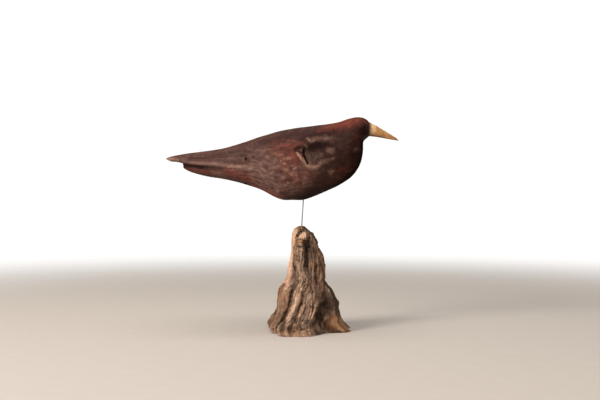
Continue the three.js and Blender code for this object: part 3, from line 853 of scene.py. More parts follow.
# painted shade inside the cracks and holes
soot_and_shade = np.maximum(soot_and_shade, 0.95 * np.maximum(crack, holes))
greyed_and_lit = np.maximum(greyed_and_lit, far_side * 0.8 * (1 - smoothstep(points[:, 0], -95, -20)))
worn_and_lit = np.maximum(worn_and_lit, 0.5 * back_knot * smoothstep(noise(points, 3, 62), 0.0, 0.5))

# painted highlight along the tail's top edge
tail_top_highlight = np.exp(-((share_round / 0.09) ** 2)) * (1 - smoothstep(points[:, 0], -100, -50))
worn_and_lit = np.maximum(worn_and_lit, 0.55 * tail_top_highlight * smoothstep(streaks(20, 3, 63), -0.5, 0.2))
tip_wear = 1 - smoothstep(points[:, 0], -158, -146)
worn_and_lit = np.maximum(worn_and_lit, 0.35 * tip_wear)
# painted shade in sunken places and open cracks
hollow_and_shade = np.clip(0.55 * np.clip(-height_field, 0, 2) + open_crack, 0, 1)
# painted shade on the underside towards the breast
hollow_and_shade = np.maximum(hollow_and_shade, 0.6 * underneath * smoothstep(points[:, 0], -30, 10))

streaky = 0.35 + 0.55 * tailward
fields = [padded(f) for f in (bird_grain, ruddy_and_lit, soot_and_shade, greyed_and_lit, worn_and_lit, hollow_and_shade, streaky)]
on_mesh = moved_to_mesh(bird, seat_points, *fields)
for name, field in zip(("grain", "ruddy_and_lit", "soot_and_shade", "greyed_and_lit", "worn_and_lit", "hollow_and_shade", "streaky"), on_mesh):
    carry(bird, name, field)
print("masks on the bird: mean red", ruddy_and_lit.mean().round(2), "black", soot_and_shade.mean().round(2))

# %% The bird's material
dark_wood, add = new_material("dark_driftwood")
grain = add("Attribute", attribute_name="grain").outputs["Vector"]


def grain_noise(add, grain, along, across, seed, detail=3.0, rough=0.55):
    """Noise drawn out along the grain: sizes in mm."""
    stretch = (1 / along, 1 / across, 1 / (4 * across))
    place = add("VectorMath", {0: grain, 1: stretch, 2: (seed, seed * 0.37, seed * 0.71)}, operation="MULTIPLY_ADD")
    return add("TexNoise", {"Vector": place.outputs[0], "Scale": 1.0, "Detail": detail, "Roughness": rough}).outputs[0]


long_streaks = grain_noise(add, grain, 26, 2.6, 3.0)
fine_streaks = grain_noise(add, grain, 9, 0.55, 11.0)
pores = grain_noise(add, grain, 2.6, 0.28, 19.0, 2.0)
mottle = grain_noise(add, grain, 7, 4.5, 27.0, 4.0, 0.62)

streaky = mixed(add, mask(add, "streaky"), mottle, long_streaks)
brown = ramp(add, streaky, [(0.3, (0.044, 0.0180, 0.0140)), (0.5, (0.070, 0.0285, 0.0225)), (0.7, (0.112, 0.050, 0.039))])
red = ramp(add, streaky, [(0.3, (0.100, 0.021, 0.0115)), (0.55, (0.180, 0.037, 0.019)), (0.72, (0.27, 0.074, 0.038))])
grey = ramp(add, streaky, [(0.3, (0.085, 0.041, 0.033)), (0.5, (0.155, 0.082, 0.067)), (0.7, (0.25, 0.145, 0.118))])
soot_and_shade_tone = ramp(add, streaky, [(0.3, (0.0090, 0.0045, 0.0040)), (0.7, (0.022, 0.0105, 0.0092))])
bare_and_lit_tone = ramp(add, fine_streaks, [(0.3, (0.21, 0.110, 0.080)), (0.6, (0.44, 0.262, 0.190))])

uneven = calc(add, "MULTIPLY_ADD", mottle, 1.3, 0.35)
# red-brown wood, and painted light
colour = mixed(add, calc(add, "MULTIPLY", mask(add, "ruddy_and_lit"), uneven), brown, red)
# grey weathering, and painted light
colour = mixed(add, calc(add, "MULTIPLY", mask(add, "greyed_and_lit"), uneven), colour, grey)
# near black: dark wood, and painted shade
colour = mixed(add, calc(add, "MULTIPLY", mask(add, "soot_and_shade"), uneven), colour, soot_and_shade_tone)
chips = grain_noise(add, grain, 2.2, 1.2, 33.0, 4.0, 0.62)
bare_and_lit_here = calc(add, "MULTIPLY", mask(add, "worn_and_lit"), ramp(add, chips, [(0.32, 0.55), (0.6, 1.25)]))
# bare wood, and painted highlights
colour = mixed(add, calc(add, "MINIMUM", bare_and_lit_here, 1.0), colour, bare_and_lit_tone)
shade = ramp(add, mottle, [(0.25, 0.62), (0.75, 1.30)])
colour = mixed(add, 0.85, colour, shade, "MULTIPLY")
line_shade = ramp(add, fine_streaks, [(0.3, 0.62), (0.62, 1.22)])
colour = mixed(add, 0.26, colour, line_shade, "MULTIPLY")
# painted shade: near black in hollows, cracks and on the underside
colour = mixed(add, calc(add, "MULTIPLY", mask(add, "hollow_and_shade"), 0.85), colour, (0.010, 0.006, 0.005))

gloss = ramp(add, mottle, [(0.3, 0.54), (0.7, 0.74)])
surface = mixed(add, 0.5, fine_streaks, pores)
sheen = calc(add, "MULTIPLY_ADD", mask(add, "soot_and_shade"), -0.13, 0.13)
finish_material(add, colour, gloss, surface, 0.00013, **{"Specular IOR Level": sheen})
dress(bird, "bird_body", dark_wood)

# %% [markdown]
# ## The beak
# The beak is a slip of pale wood cut to a point with a few strokes of a knife, so it
# has flats with soft edges between them, and one broad flat at its root, painted
# paler as a highlight. The grain runs to the point.

# %% Mesh and finish of the beak
beak_places = np.concatenate((np.linspace(65.9, 98.6, 70), np.linspace(98.6, 101.3, 14)[1:]))
beak_grid = beak_rings(beak_places, 72)
beak_points = beak_grid.reshape(-1, 3)
beak_push = 0.10 * noise(beak_points, (9, 3, 3), 71) + 0.05 * noise(beak_points, (5, 0.8, 0.8), 72)
beak_drawn = on_drawing(beak_points)
beak_front = smoothstep(-beak_points[:, 1], 0.3, 2.0)
root_flat_and_highlight = oval_mark(beak_drawn, (372.6, 129), (3.1, 5.4), 8, 0.1, 0.35) * beak_front
# painted shade under the root of the beak
under_root_shade = line_mark(beak_drawn, [(369, 135.8), (375, 136.2), (386, 138.0)], (1.5, 0.6), 0.2, 0.8) * beak_front
beak_push -= 0.7 * root_flat_and_highlight * np.clip((77.0 - beak_points[:, 0]) / 7.6, 0, 1)
tipness = 1 - smoothstep(beak_points[:, 0], 99, 101.3)
beak_grid = beak_grid + outward(beak_grid) * (beak_push * tipness).reshape(beak_grid.shape[:2] + (1,))
beak = mesh_from_grid("carved_beak", beak_grid, ([], beak_grid[0].mean(0)), ([], beak_grid[-1].mean(0)))
carry(beak, "root_flat_and_highlight", np.append(root_flat_and_highlight, (0.0, 0.0)))
carry(beak, "under_root_shade", np.append(under_root_shade, (0.0, 0.0)))

pale_wood, add = new_material("pale_wood")
place = add("TexCoord").outputs["Object"]
beak_mm = add("VectorMath", {0: place, 1: (1000, 1000, 1000)}, operation="MULTIPLY").outputs[0]
turned = add("VectorRotate", {"Vector": beak_mm, "Center": (66, 0, 225), "Angle": math.radians(-20)}, rotation_type="Y_AXIS").outputs[0]
lines = grain_noise(add, turned, 16, 0.7, 5.0)
specks = grain_noise(add, turned, 2.5, 1.2, 13.0)
colour = ramp(add, lines, [(0.3, (0.35, 0.165, 0.050)), (0.5, (0.49, 0.245, 0.084)), (0.7, (0.59, 0.315, 0.120))])
apart = add("SeparateXYZ", {0: beak_mm}).outputs
to_tip = add("MapRange", {"Value": apart[0], "From Min": 90.0, "From Max": 101.0}, interpolation_type="SMOOTHSTEP").outputs[0]
colour = mixed(add, calc(add, "MULTIPLY", to_tip, 0.75), colour, (0.36, 0.125, 0.035))
# painted highlight: cream on the flat at the root
colour = mixed(add, mask(add, "root_flat_and_highlight"), colour, (0.80, 0.49, 0.25))
# painted shade under the root of the beak
colour = mixed(add, calc(add, "MULTIPLY", mask(add, "under_root_shade"), 0.7), colour, (0.13, 0.045, 0.015))
# painted shade on the beak where it enters the head
seam_shade = add("MapRange", {"Value": apart[0], "From Min": 70.0, "From Max": 68.8}).outputs[0]
colour = mixed(add, calc(add, "MULTIPLY", seam_shade, 0.75), colour, (0.06, 0.03, 0.02))
colour = mixed(add, 0.5, colour, ramp(add, specks, [(0.3, 0.75), (0.65, 1.1)]), "MULTIPLY")
finish_material(add, colour, ramp(add, lines, [(0.3, 0.42), (0.7, 0.58)]), lines, 0.00012, **{"Specular IOR Level": 0.4})
dress(beak, "beak", pale_wood)

# %% [markdown]
# ## The wire
# One thin steel wire, drawn and then bent a little by hand, goes from the stump into
# the belly. Fine lines run along it from drawing, and it has dulled where it leaves
# the wood.

# %% Mesh and finish of the wire
wire_rings = tube_rings(wire_line, WIRE_RADIUS, 24)
wobble = 1 + 0.02 * noise(wire_rings.reshape(-1, 3), (1, 1, 6), 81).reshape(wire_rings.shape[:2])
wire_rings = wire_line[:, None] + (wire_rings - wire_line[:, None]) * wobble[..., None]
wire = mesh_from_grid("steel_wire", wire_rings, ([], wire_line[0]), ([], wire_line[-1]))

steel, add = new_material("steel_wire")
place = add("TexCoord").outputs["Object"]
wire_mm = add("VectorMath", {0: place, 1: (1000, 1000, 1000)}, operation="MULTIPLY").outputs[0]
drawn_lines = add("TexNoise", {"Vector": add("VectorMath", {0: wire_mm, 1: (6, 6, 0.25)}, operation="MULTIPLY").outputs[0], "Scale": 1.0, "Detail": 3.0}).outputs[0]
stains = add("TexNoise", {"Vector": wire_mm, "Scale": 0.5, "Detail": 4.0}).outputs[0]
height_up = add("SeparateXYZ", {0: wire_mm}).outputs[2]
low_end = add("MapRange", {"Value": height_up, "From Min": 122.0, "From Max": 115.0}).outputs[0]
high_end = add("MapRange", {"Value": height_up, "From Min": 141.0, "From Max": 146.0}).outputs[0]
dulled = calc(add, "MAXIMUM", low_end, high_end)
colour = ramp(add, drawn_lines, [(0.3, (0.20, 0.20, 0.205)), (0.7, (0.36, 0.36, 0.365))])
rusty = calc(add, "MULTIPLY", dulled, calc(add, "MULTIPLY", stains, 1.1))
colour = mixed(add, rusty, colour, (0.10, 0.055, 0.035))
finish_material(add, colour, ramp(add, stains, [(0.3, 0.34), (0.7, 0.55)]), drawn_lines, 0.00004, Metallic=1.0)
dress(wire, "leg_wire", steel)

# %% [markdown]
# ## The stump's form
# The stump is the worn foot of a small tree. Its trunk is a table of widths at a few
# heights. Roots swell the foot, cords of wood run down it and lean to the left, and
# furrows part them. Each cord and furrow is a course: the bearing at which it lies at
# a few heights, where 0 degrees faces the front and 90 faces the beak's side.

# %% The stump's tables
TRUNK = [
    (0, -40.6, 42.6, -38.0, 35.0), (6, -43.0, 37.8, -38.0, 36.5), (12, -41.0, 34.0, -37.0, 36.2),
    (18, -36.6, 33.8, -35.5, 34.5), (25, -33.2, 33.4, -33.0, 30.5), (31, -33.0, 32.6, -31.0, 27.5),
    (45, -31.8, 26.2, -27.0, 25.0), (50, -28.4, 21.8, -25.5, 24.6), (56, -24.0, 18.4, -23.5, 23.5),
    (62, -21.0, 17.2, -22.0, 20.6), (68, -20.8, 17.5, -20.5, 18.0), (80, -18.4, 17.0, -18.0, 17.0),
    (94, -17.8, 10.6, -14.5, 15.5), (103, -17.8, 8.4, -12.0, 12.0), (109, -17.4, 5.2, -9.4, 9.5),
    (113.5, -15.0, 0.2, -6.0, 6.5), (116.2, -10.4, -4.0, -3.0, 3.2),
]
ROOTS = [(-27, 12.5, 42, 24), (36, -9, 28, 60), (122, 8, 38, 22), (176, -7, 34, 46), (228, 9, 40, 30)]
CORDS = [  # course, half width, rise, height over which it begins
    ([(114, -32), (107, -58), (90, -68), (68, -64), (50, -58)], 5.5, 1.6, 6),
    ([(60, -62), (44, -56), (29, -61), (4, -58)], 10, 2.6, 10),
    ([(103, -16), (92, -25), (80, -26), (68, -18), (54, -8)], 7.5, 4.2, 1.6),
    ([(111, 46), (96, 38), (82, 31), (68, 38), (55, 44), (41, 25), (27, 14), (6, 5)], 6.5, 2.6, 5),
    ([(100, 66), (81, 62), (62, 68), (46, 70), (33, 68), (18, 72)], 7.5, 1.8, 8),
    ([(66, -5), (52, -13), (40, -19), (30, -25), (18, -28), (0, -30)], 7, 3.6, 12),
    ([(38, -4), (26, -10), (18, -13), (6, -8)], 3.5, 2, 6),
    ([(62, 14), (48, 8), (36, 5), (24, 0), (2, -2)], 9, 2.6, 12),
    ([(22, 44), (12, 58), (0, 74)], 13, 5.5, 9),
    ([(104, 108), (66, 104), (34, 98), (0, 90)], 8, 2.2, 12),
    ([(92, 146), (60, 138), (30, 126), (0, 118)], 11, 3.4, 18),
    ([(110, 176), (74, 170), (40, 156), (8, 146)], 7, 2.4, 8),
    ([(70, 204), (44, 196), (20, 184), (0, 178)], 9, 3, 20),
    ([(108, 222), (84, 226), (52, 226), (24, 214), (0, 206)], 8.5, 3.2, 8),
    ([(84, 262), (56, 258), (30, 248), (0, 240)], 11, 2.4, 16),
]
FURROWS = [  # course, half widths and depths at its top and bottom
    ([(58, -19), (44, -28), (34, -35), (23, -39), (12, -42), (0, -46)], (3.5, 6), (3, 8.5)),
    ([(58, 58), (46, 50), (38, 45), (28, 40), (18, 32)], (5, 15), (3, 10)),
    ([(99, 9), (84, -1), (74, 0), (62, 9)], (4.5, 5), (5, 3.5)),
    ([(98, -50), (88, -52), (76, -49), (66, -38)], (2.6, 2.6), (1.6, 1.6)),
    ([(111, 34), (102, 20), (92, 17)], (2.6, 2.6), (5, 3.5)),
    ([(115, 24), (110, -12), (105, -38)], (2.8, 2.8), (1.6, 1.6)),
    ([(46, -4), (34, -12), (25, -17), (8, -18)], (3, 3), (3, 3)),
    ([(40, 18), (28, 8), (14, 4)], (3, 3), (2, 2)),
    ([(88, 124), (56, 118), (26, 108), (0, 103)], (4, 6), (3, 6)),
    ([(98, 196), (66, 186), (34, 172), (0, 160)], (4, 7), (3.5, 7)),
    ([(104, 244), (72, 243), (36, 232), (0, 222)], (3, 5), (2.5, 5)),
]


# %% The stump's form at any height and bearing
def wrapped(turn):
    return (turn + 180) % 360 - 180


def strength_at(course, level, start, end):
    """A cord or furrow fades in at its top, and out below unless it reaches the foot."""
    upper, lower = course[0][0], course[-1][0]
    fades_in = 1 - smoothstep(level, upper - start / 2, upper + start / 2)
    return fades_in if lower <= 6 else fades_in * smoothstep(level, lower - end, lower + end)


def stump_relief(level, bearing, radius):
    push = np.zeros(np.broadcast(level, bearing).shape)
    for middle, reach, spread, fade in ROOTS:
        near = np.maximum(0, 1 - (wrapped(bearing - middle) / spread) ** 2)
        push = push + reach * near**2 * np.exp(-((level / fade) ** 2))
    for course, half, rise, start in CORDS:
        away = np.radians(wrapped(bearing - value_at(course, level))) * radius / half
        push = push + rise * np.maximum(0, 1 - away**2) * strength_at(course, level, start, 6)
    for course, halves, depths in FURROWS:
        upper, lower = course[0][0], course[-1][0]
        share = np.clip((upper - level) / (upper - lower), 0, 1)
        half = halves[0] + (halves[1] - halves[0]) * share
        depth = depths[0] + (depths[1] - depths[0]) * share
        away = np.abs(np.radians(wrapped(bearing - value_at(course, level)))) * radius / half
        push = push - depth * np.maximum(0, 1 - away) ** 1.5 * strength_at(course, level, 6, 5)
    return push


LEVELS, SIDES = 226, 384
rows = [(i, *row) for i, row in enumerate(TRUNK)]
index = np.linspace(0, len(TRUNK) - 1, LEVELS)
level, left, right, near_y, far_y = (value_at(rows, index, c)[:, None] for c in range(1, 6))
lean = -24 * (1 - smoothstep(level, 4, 62))
bearing = lean + np.linspace(0, 360, SIDES, endpoint=False)[None]
sin_b, cos_b = np.sin(np.radians(bearing)), -np.cos(np.radians(bearing))
half_x, half_y = (right - left) / 2, (far_y - near_y) / 2
radius = np.hypot(half_x * sin_b, half_y * cos_b)
push = stump_relief(level, bearing, radius) * np.minimum(1, radius / 9)
stump_grid = np.stack((
    (left + right) / 2 + sin_b * (half_x + push),
    (near_y + far_y) / 2 + cos_b * (half_y + push),
    level + 0 * bearing,
), axis=2)
stump_out = outward(stump_grid)
print("stump:", stump_grid.shape[0], "rings of", stump_grid.shape[1])

# %% [markdown]
# ## Grain of the stump
# Driftwood is worn along its fibres, so every ridge, crack and streak runs with the
# cords. The courses below cover the whole trunk. Each point gets a number across the
# grain by its place between the two nearest courses, and all finer relief is noise
# that is long down the courses and narrow across them.

# %% Courses of the grain
STREAMS = [
    [(116, -70), (107, -66), (90, -72), (68, -70), (44, -64), (20, -66), (0, -68)],
    [(116, -52), (98, -52), (88, -53), (76, -50), (66, -40), (56, -28), (44, -29), (34, -36), (23, -40), (12, -43), (0, -47)],
    [(116, -20), (103, -17), (92, -25), (80, -26), (68, -18), (56, -13), (40, -19), (30, -25), (18, -28), (0, -30)],
    [(116, 4), (99, 5), (84, -3), (74, -4), (62, 0), (48, -4), (34, -12), (25, -16), (8, -17), (0, -17)],
    [(116, 24), (102, 17), (84, 8), (74, 8), (62, 14), (48, 8), (36, 5), (24, 0), (0, -3)],
    [(116, 48), (96, 38), (82, 31), (68, 38), (55, 40), (41, 24), (27, 14), (0, 8)],
    [(116, 60), (96, 52), (70, 52), (58, 56), (46, 49), (38, 44), (28, 38), (12, 34), (0, 32)],
    [(116, 76), (100, 68), (81, 64), (62, 68), (46, 70), (33, 66), (12, 62), (0, 68)],
    [(116, 110), (66, 104), (34, 98), (0, 92)],
    [(116, 146), (60, 138), (30, 126), (0, 118)],
    [(116, 178), (74, 170), (40, 156), (0, 146)],
    [(116, 206), (66, 190), (34, 176), (0, 166)],
    [(116, 226), (84, 226), (52, 224), (24, 212), (0, 204)],
    [(116, 252), (72, 243), (36, 232), (0, 224)],
    [(116, 272), (56, 262), (30, 252), (0, 244)],
]
grain_turn = np.zeros(bearing.shape)
steps = np.arange(len(STREAMS)) * 360 / len(STREAMS)
for i in range(LEVELS):
    here = np.array([value_at(course, level[i, 0]) for course in STREAMS])
    knots = np.concatenate((here - 360, here, here + 360))
    values = np.concatenate((steps - 360, steps, steps + 360))
    turn = (bearing[i] - here[0]) % 360 + here[0]
    grain_turn[i] = np.interp(turn, knots, values)

GRAIN_RADIUS = 26
spots = stump_grid.reshape(-1, 3)
turn = np.radians(grain_turn).ravel()
stump_level = np.repeat(level[:, 0], SIDES)
sway = 2.2 * noise(spots, (16, 16, 22), 91) + 0.9 * noise(spots, (6, 6, 9), 92)
turn = turn + sway / GRAIN_RADIUS
stump_grain = np.column_stack((GRAIN_RADIUS * np.cos(turn), GRAIN_RADIUS * np.sin(turn), stump_level))
print("courses of grain:", len(STREAMS))

# %% [markdown]
# ## Relief of the stump
# Three sizes of relief lie on the cords: ropes of wood some millimetres wide, fine
# raised grain, and sharp cracks. Some places differ, and are named on the drawing:
# the cut face and the slot at the top, the pitted ridge, the deep furrows, the
# curly grain in the fan, and the hollow above the right foot.

# %% Named places on the stump
drawn = on_drawing(spots)
facing = smoothstep(-cos_b.ravel(), -0.5, -0.15)
PALE = [
    (1.0, S, [(296, 230), (292.8, 236), (291.4, 248), (290.6, 260), (288.4, 272), (285.5, 281)], (2.6, 3.2), {"ragged": 0.2, "soft": 0.6}),
    (1.0, O, (303.2, 235.2), (4.8, 4.0), -38, {"ragged": 0.2}),
    (0.8, S, [(300, 285), (297.0, 297), (295, 303.4), (291.4, 311.3), (288.5, 318)], (3.0, 2.0), {"soft": 0.8}),
    (0.8, S, [(304.9, 301), (302.4, 310.7), (298.7, 318), (298.2, 324), (300.4, 328.6)], 1.2),
    (0.75, S, [(316.4, 306), (313.6, 313.6), (310.6, 318.6)], 1.1),
    (0.5, O, (304, 275), (3.4, 3.0), 0, {"soft": 0.8}),
    (0.6, S, [(308, 278), (306, 283), (303, 290)], 2.4, {"soft": 0.9}),
    (0.65, S, [(273, 331.8), (282, 334.6), (296, 335.8), (306, 335.2)], 1.0, {"ragged": 0.5}),
    (0.7, S, [(287.6, 281), (284.6, 292)], 3.2, {"soft": 0.9, "ragged": 0.5}),
    (0.9, O, (300.6, 243.3), (1.1, 1.1), 0),
    (0.45, O, (309.6, 330), (2.4, 2.0), 0, {"ragged": 0.6, "soft": 0.8}),
    (0.6, S, [(321, 328), (325, 331), (330, 333)], 1.0, {"ragged": 0.6, "soft": 0.8}),
    (0.5, S, [(318, 255), (317.6, 274), (318.4, 281)], 1.6, {"ragged": 0.6, "soft": 0.8}),
    (0.6, S, [(311, 281), (311.4, 292), (309, 303)], 2.6, {"ragged": 0.6, "soft": 0.8}),
    (0.45, S, [(312.6, 233), (314.4, 246)], 1.4, {"ragged": 0.6, "soft": 0.8}),
    (0.3, O, (283, 301), (4, 6), 0, {"ragged": 0.6, "soft": 0.8}),
    (0.75, S, [(320, 276), (321.4, 288), (319.6, 300), (317, 306)], 2.6, {"ragged": 0.4, "soft": 0.8}),
    (0.4, S, [(306, 330), (314, 328.6), (324, 325)], (2.0, 3.6), {"ragged": 0.8, "soft": 0.9}),
    (0.6, S, [(301, 288), (299.6, 298), (297, 306)], 1.8, {"ragged": 0.4, "soft": 0.8}),
    (0.4, O, (304, 286), (7, 10), 15, {"ragged": 0.5, "soft": 0.9}),
    (0.5, O, (297.6, 228.4), (4.5, 2.6), -20, {"soft": 0.9}),
]
WARM = [
    (1.0, O, (338, 323.5), (12, 6.5), 32, {"soft": 0.7}),
    (0.8, O, (332, 326), (9, 5), 10, {"soft": 0.8}),
    (0.9, S, [(282, 285), (279.6, 291), (278.0, 300)], 1.5, {"soft": 0.7}),
    (0.7, S, [(319.7, 254), (321.4, 262), (320.6, 270), (319, 277)], 1.4, {"soft": 0.8}),
    (0.9, S, [(323.6, 252), (324.8, 264), (323.8, 277)], 1.0, {"soft": 0.6}),
    (0.7, O, (300.4, 241.4), (5.8, 3.4), 0, {"soft": 0.8}),
    (0.6, O, (300, 228.6), (5, 1.6), 0, {"soft": 0.8}),
    (0.6, O, (272, 326), (5, 7), 20, {"soft": 0.9}),
    (0.4, S, [(305, 290), (302, 300), (297, 314)], 1.6, {"soft": 0.9}),
    (0.55, O, (294, 331), (14, 4), 0, {"soft": 0.9}),
    (0.5, S, [(312, 262), (313.8, 271)], 1.6, {"soft": 0.8}),
    (0.35, O, (283, 310), (6, 16), 15, {"soft": 0.9}),
    (0.4, S, [(319, 282), (320, 292)], 2.0, {"soft": 0.9}),
]
# Mostly painted shade and shadow, with some dark wood: furrows, the slot at the top, recesses and pockets, round the
# knob, the right shoulder and under the foot.
DARK_AND_SHADE = [
    # painted shade in the deep furrow (this line and the next)
    (1.0, S, [(292.6, 290), (291.0, 297), (289.8, 303), (288.2, 309), (286.6, 313)], (0.8, 1.5), {"ragged": 0.25}),
    (1.0, S, [(286.4, 312), (284.4, 317.4), (282.8, 323), (280.8, 330)], (1.6, 3.0), {"ragged": 0.3}),
    # painted shade in the slot at the top
    (1.0, S, [(309.3, 232.6), (308.9, 239.6), (309.3, 247)], (1.1, 1.3), {"ragged": 0.25}),
    (0.75, S, [(305.4, 228.0), (301.2, 232), (297.4, 236.4)], (1.1, 0.7), {"ragged": 0.3}),
    (0.95, S, [(304, 226.6), (310, 230.6), (315, 237), (319.4, 247.6)], (0.9, 0.6), {"soft": 0.7}),
    # painted shade in the recess right of the ridge (this line and the next)
    (0.8, S, [(306.6, 249), (306.8, 258), (306.2, 266.4)], (1.0, 1.6), {"ragged": 0.35}),
    (0.8, O, (311.6, 254), (4.5, 9), 5, {"soft": 0.8, "ragged": 0.4}),
    (0.7, S, [(293.4, 247), (292.8, 256), (293.0, 264), (295.2, 270)], (0.7, 0.9), {"ragged": 0.5}),
    (0.85, O, (315.8, 268.0), (1.8, 3.6), 10, {"ragged": 0.4}),
    (0.8, S, [(325.2, 280), (324.4, 289.4), (322.6, 296)], (1.1, 1.6), {"ragged": 0.4}),
    # painted shadow in the hollow above the right foot, which faces away from the window (this line and the next)
    (0.92, O, (328.6, 303), (7.0, 11), 30, {"soft": 0.6, "ragged": 0.3}),
    (1.0, O, (335, 302), (6.5, 12), -15, {"soft": 0.6, "ragged": 0.3}),
    # painted shade in the pocket above the foot
    (1.0, O, (319.0, 316.4), (4.6, 3.4), -35, {"soft": 0.6, "ragged": 0.3}),
    # painted shadow on the right shoulder's side away from the light
    (1.0, S, [(326, 282.5), (331, 290), (336, 297), (340, 308), (341, 316)], (0.8, 1.3), {"soft": 0.7}),
    (0.75, S, [(301.6, 301.6), (299.4, 308), (297.4, 316), (295.6, 322)], (0.8, 1.2), {"ragged": 0.5}),
    (0.65, S, [(308.6, 302), (305.4, 311), (303, 321)], 1.1, {"ragged": 0.5}),
    (0.5, S, [(298, 281.6), (295.4, 287), (293, 291)], 1.2, {"ragged": 0.5, "soft": 0.8}),
    # painted shade in the crease over the knob, and its shadow below (this line and the next)
    (0.9, S, [(295.6, 241), (298.4, 239.2), (303, 239.2), (306, 241)], 0.8, {"ragged": 0.3}),
    (0.8, S, [(298.0, 246.4), (301.0, 247.0)], 1.0, {"ragged": 0.4}),
    (0.9, O, (296, 328.4), (8, 3.4), -6, {"ragged": 0.4, "soft": 0.8}),
    (0.6, O, (310, 323), (5, 3), 10, {"ragged": 0.6, "soft": 0.9}),
    (0.55, O, (275, 320), (6, 10), 25, {"ragged": 0.7, "soft": 0.9}),
    # painted shadow under the foot's raised tip
    (0.6, S, [(349, 331.6), (338, 332.4), (330, 332.8)], 0.9, {"soft": 0.8}),
    (0.45, O, (285, 308), (4, 6), 20, {"ragged": 0.6, "soft": 0.8}),
    (0.5, S, [(316, 277), (317, 286), (314, 292)], 1.2, {"ragged": 0.6, "soft": 0.8}),
    (0.6, O, (330, 313), (7, 3.4), 25, {"ragged": 0.4, "soft": 0.8}),
]
CURLY = [(1.0, O, (311, 297), (8, 10), 20, {"soft": 0.8})]
PITTED = [
    (1.0, S, [(298, 246), (298, 260), (299, 272)], (5.5, 5.5), {"soft": 0.7}),
    (0.8, O, (280, 310), (7, 15), 20, {"soft": 0.8}),
    (0.7, O, (297, 328), (14, 6), 0, {"soft": 0.8}),
]
pale = painted(drawn, PALE) * facing
warm = painted(drawn, WARM) * facing
dark_and_shade = painted(drawn, DARK_AND_SHADE) * facing
curly = painted(drawn, CURLY) * facing
pitted = np.maximum(painted(drawn, PITTED) * facing, (1 - facing) * smoothstep(noise(spots, 22, 93), 0.1, 0.5))
print("named places on the stump:", len(PALE) + len(WARM) + len(DARK_AND_SHADE))


# %% Height of the stump's surface
def down_grain(along, across, seed, layers=2):
    return layered(stump_grain, np.array([across, across, along]), seed, layers)


smooth_skin = painted(drawn, PALE[:2] + WARM[:1]) * facing
rough = 1 - 0.8 * smooth_skin
warped = stump_grain + 1.1 * np.column_stack([noise(spots, 3.2, 103 + n) for n in range(3)])
plate_edge, plate = cells(warped, (5.2, 5.2, 10.0), 110)
chip_edge, chip = cells(warped, (2.1, 2.1, 4.4), 120)
plate = plate * smoothstep(plate_edge, 0.0, 0.45)
chip = chip * smoothstep(chip_edge, 0.0, 0.45)
rope_side = np.abs(down_grain(30, 5.0, 94))
ropes = 2 * rope_side - 0.5
crease = 1 - smoothstep(rope_side, 0.01, 0.16)
fine = 2 * np.abs(down_grain(12, 1.5, 95)) - 0.5
crack_line = 1 - smoothstep(np.abs(down_grain(22, 3.0, 96)), 0.02, 0.12)
crack_line = crack_line * smoothstep(noise(spots, 11, 97), -0.2, 0.3)
lumps = layered(spots, (5, 5, 6), 98, 3)
pit_field = smoothstep(noise(spots, (2.0, 2.0, 2.4), 99), 0.25, 0.6)
swirl = np.column_stack((drawn[:, 0] + 1.7 * np.sin(drawn[:, 1] / 2.1), drawn[:, 1] * 0.22, 0 * turn))
curls = noise(swirl, (1.7, 1.0, 1.0), 100)

free = smoothstep(stump_level, 0.0, 5.0)
stringy = 1 - 0.75 * pitted
upper_rim = smoothstep(stump_level, 84, 96) * smoothstep(np.abs(wrapped(bearing.ravel() - 66)), 48, 22)
rough = rough * (1 - 0.6 * upper_rim)
height = rough * stringy * (0.7 * ropes + 0.4 * fine - 0.5 * crease - 0.9 * crack_line)
height += rough * (0.5 * lumps + 0.4 * plate + (0.3 + 0.2 * pitted) * chip)
height -= rough * 1.1 * pit_field * (0.15 + 0.85 * pitted)
height -= rough * (0.3 * (1 - smoothstep(plate_edge, 0.02, 0.3)) + 0.25 * (1 - smoothstep(chip_edge, 0.02, 0.3)))
height += 0.6 * curls * curly
height -= 1.2 * dark_and_shade * (1 - 0.4 * curly)
height += 0.35 * pale * (1 - smooth_skin)

KNOB = (300.4, 242.8)
knob_away = np.hypot((drawn[:, 0] - KNOB[0]) / 5.8, (drawn[:, 1] - KNOB[1]) / 3.9)
knob_dome = np.clip(1 - knob_away**2, 0, 1) * facing
height = height * (1 - 0.6 * knob_dome) + 2.2 * knob_dome
height = height * (0.35 + 0.65 * free) * np.minimum(1, radius.ravel() / 9)
height = np.where(stump_level < 2.5, np.minimum(height, 0.6), height)
print("relief of the stump:", height.min().round(2), "to", height.max().round(2), "mm")

# %% Build and drill the stump
stump_out_flat = stump_out.copy()
stump_out_flat[..., 2] *= smoothstep(level, 0.0, 6.0)
shaped = stump_grid + stump_out_flat * height.reshape(stump_grid.shape[:2] + (1,))
shaped[..., 2] = np.maximum(shaped[..., 2], 0)
shaped[0, :, 2] = 0

top_middle = shaped[-1].mean(0) + (0, 0, 0.5)
top_rings = []
for k in (0.8, 0.6, 0.4, 0.2):
    ring = top_middle + (shaped[-1] - top_middle) * k
    ring[:, 2] += 0.25 * (1 - k) * noise(ring, 2.0, 101)
    top_rings.append(ring)
foot_middle = shaped[0].mean(0)
foot_rings = []
for k in np.linspace(0.985, 0.04, 22):
    ring = foot_middle + (shaped[0] - foot_middle) * k
    saw_marks = 0.5 + 0.5 * np.sin(ring[:, 0] * 2.1 + noise(ring, 9, 102))
    ring[:, 2] = 0.16 * saw_marks + 0.12 * np.abs(noise(ring, (2, 9, 9), 103))
    foot_rings.append(ring)
foot_middle = foot_middle + (0, 0, 0.1)
stump = mesh_from_grid("driftwood_root", shaped, (foot_rings, foot_middle), (top_rings, top_middle))
cut(stump, drill("stump_drill"))
print("stump:", len(stump.data.vertices), "points after drilling")

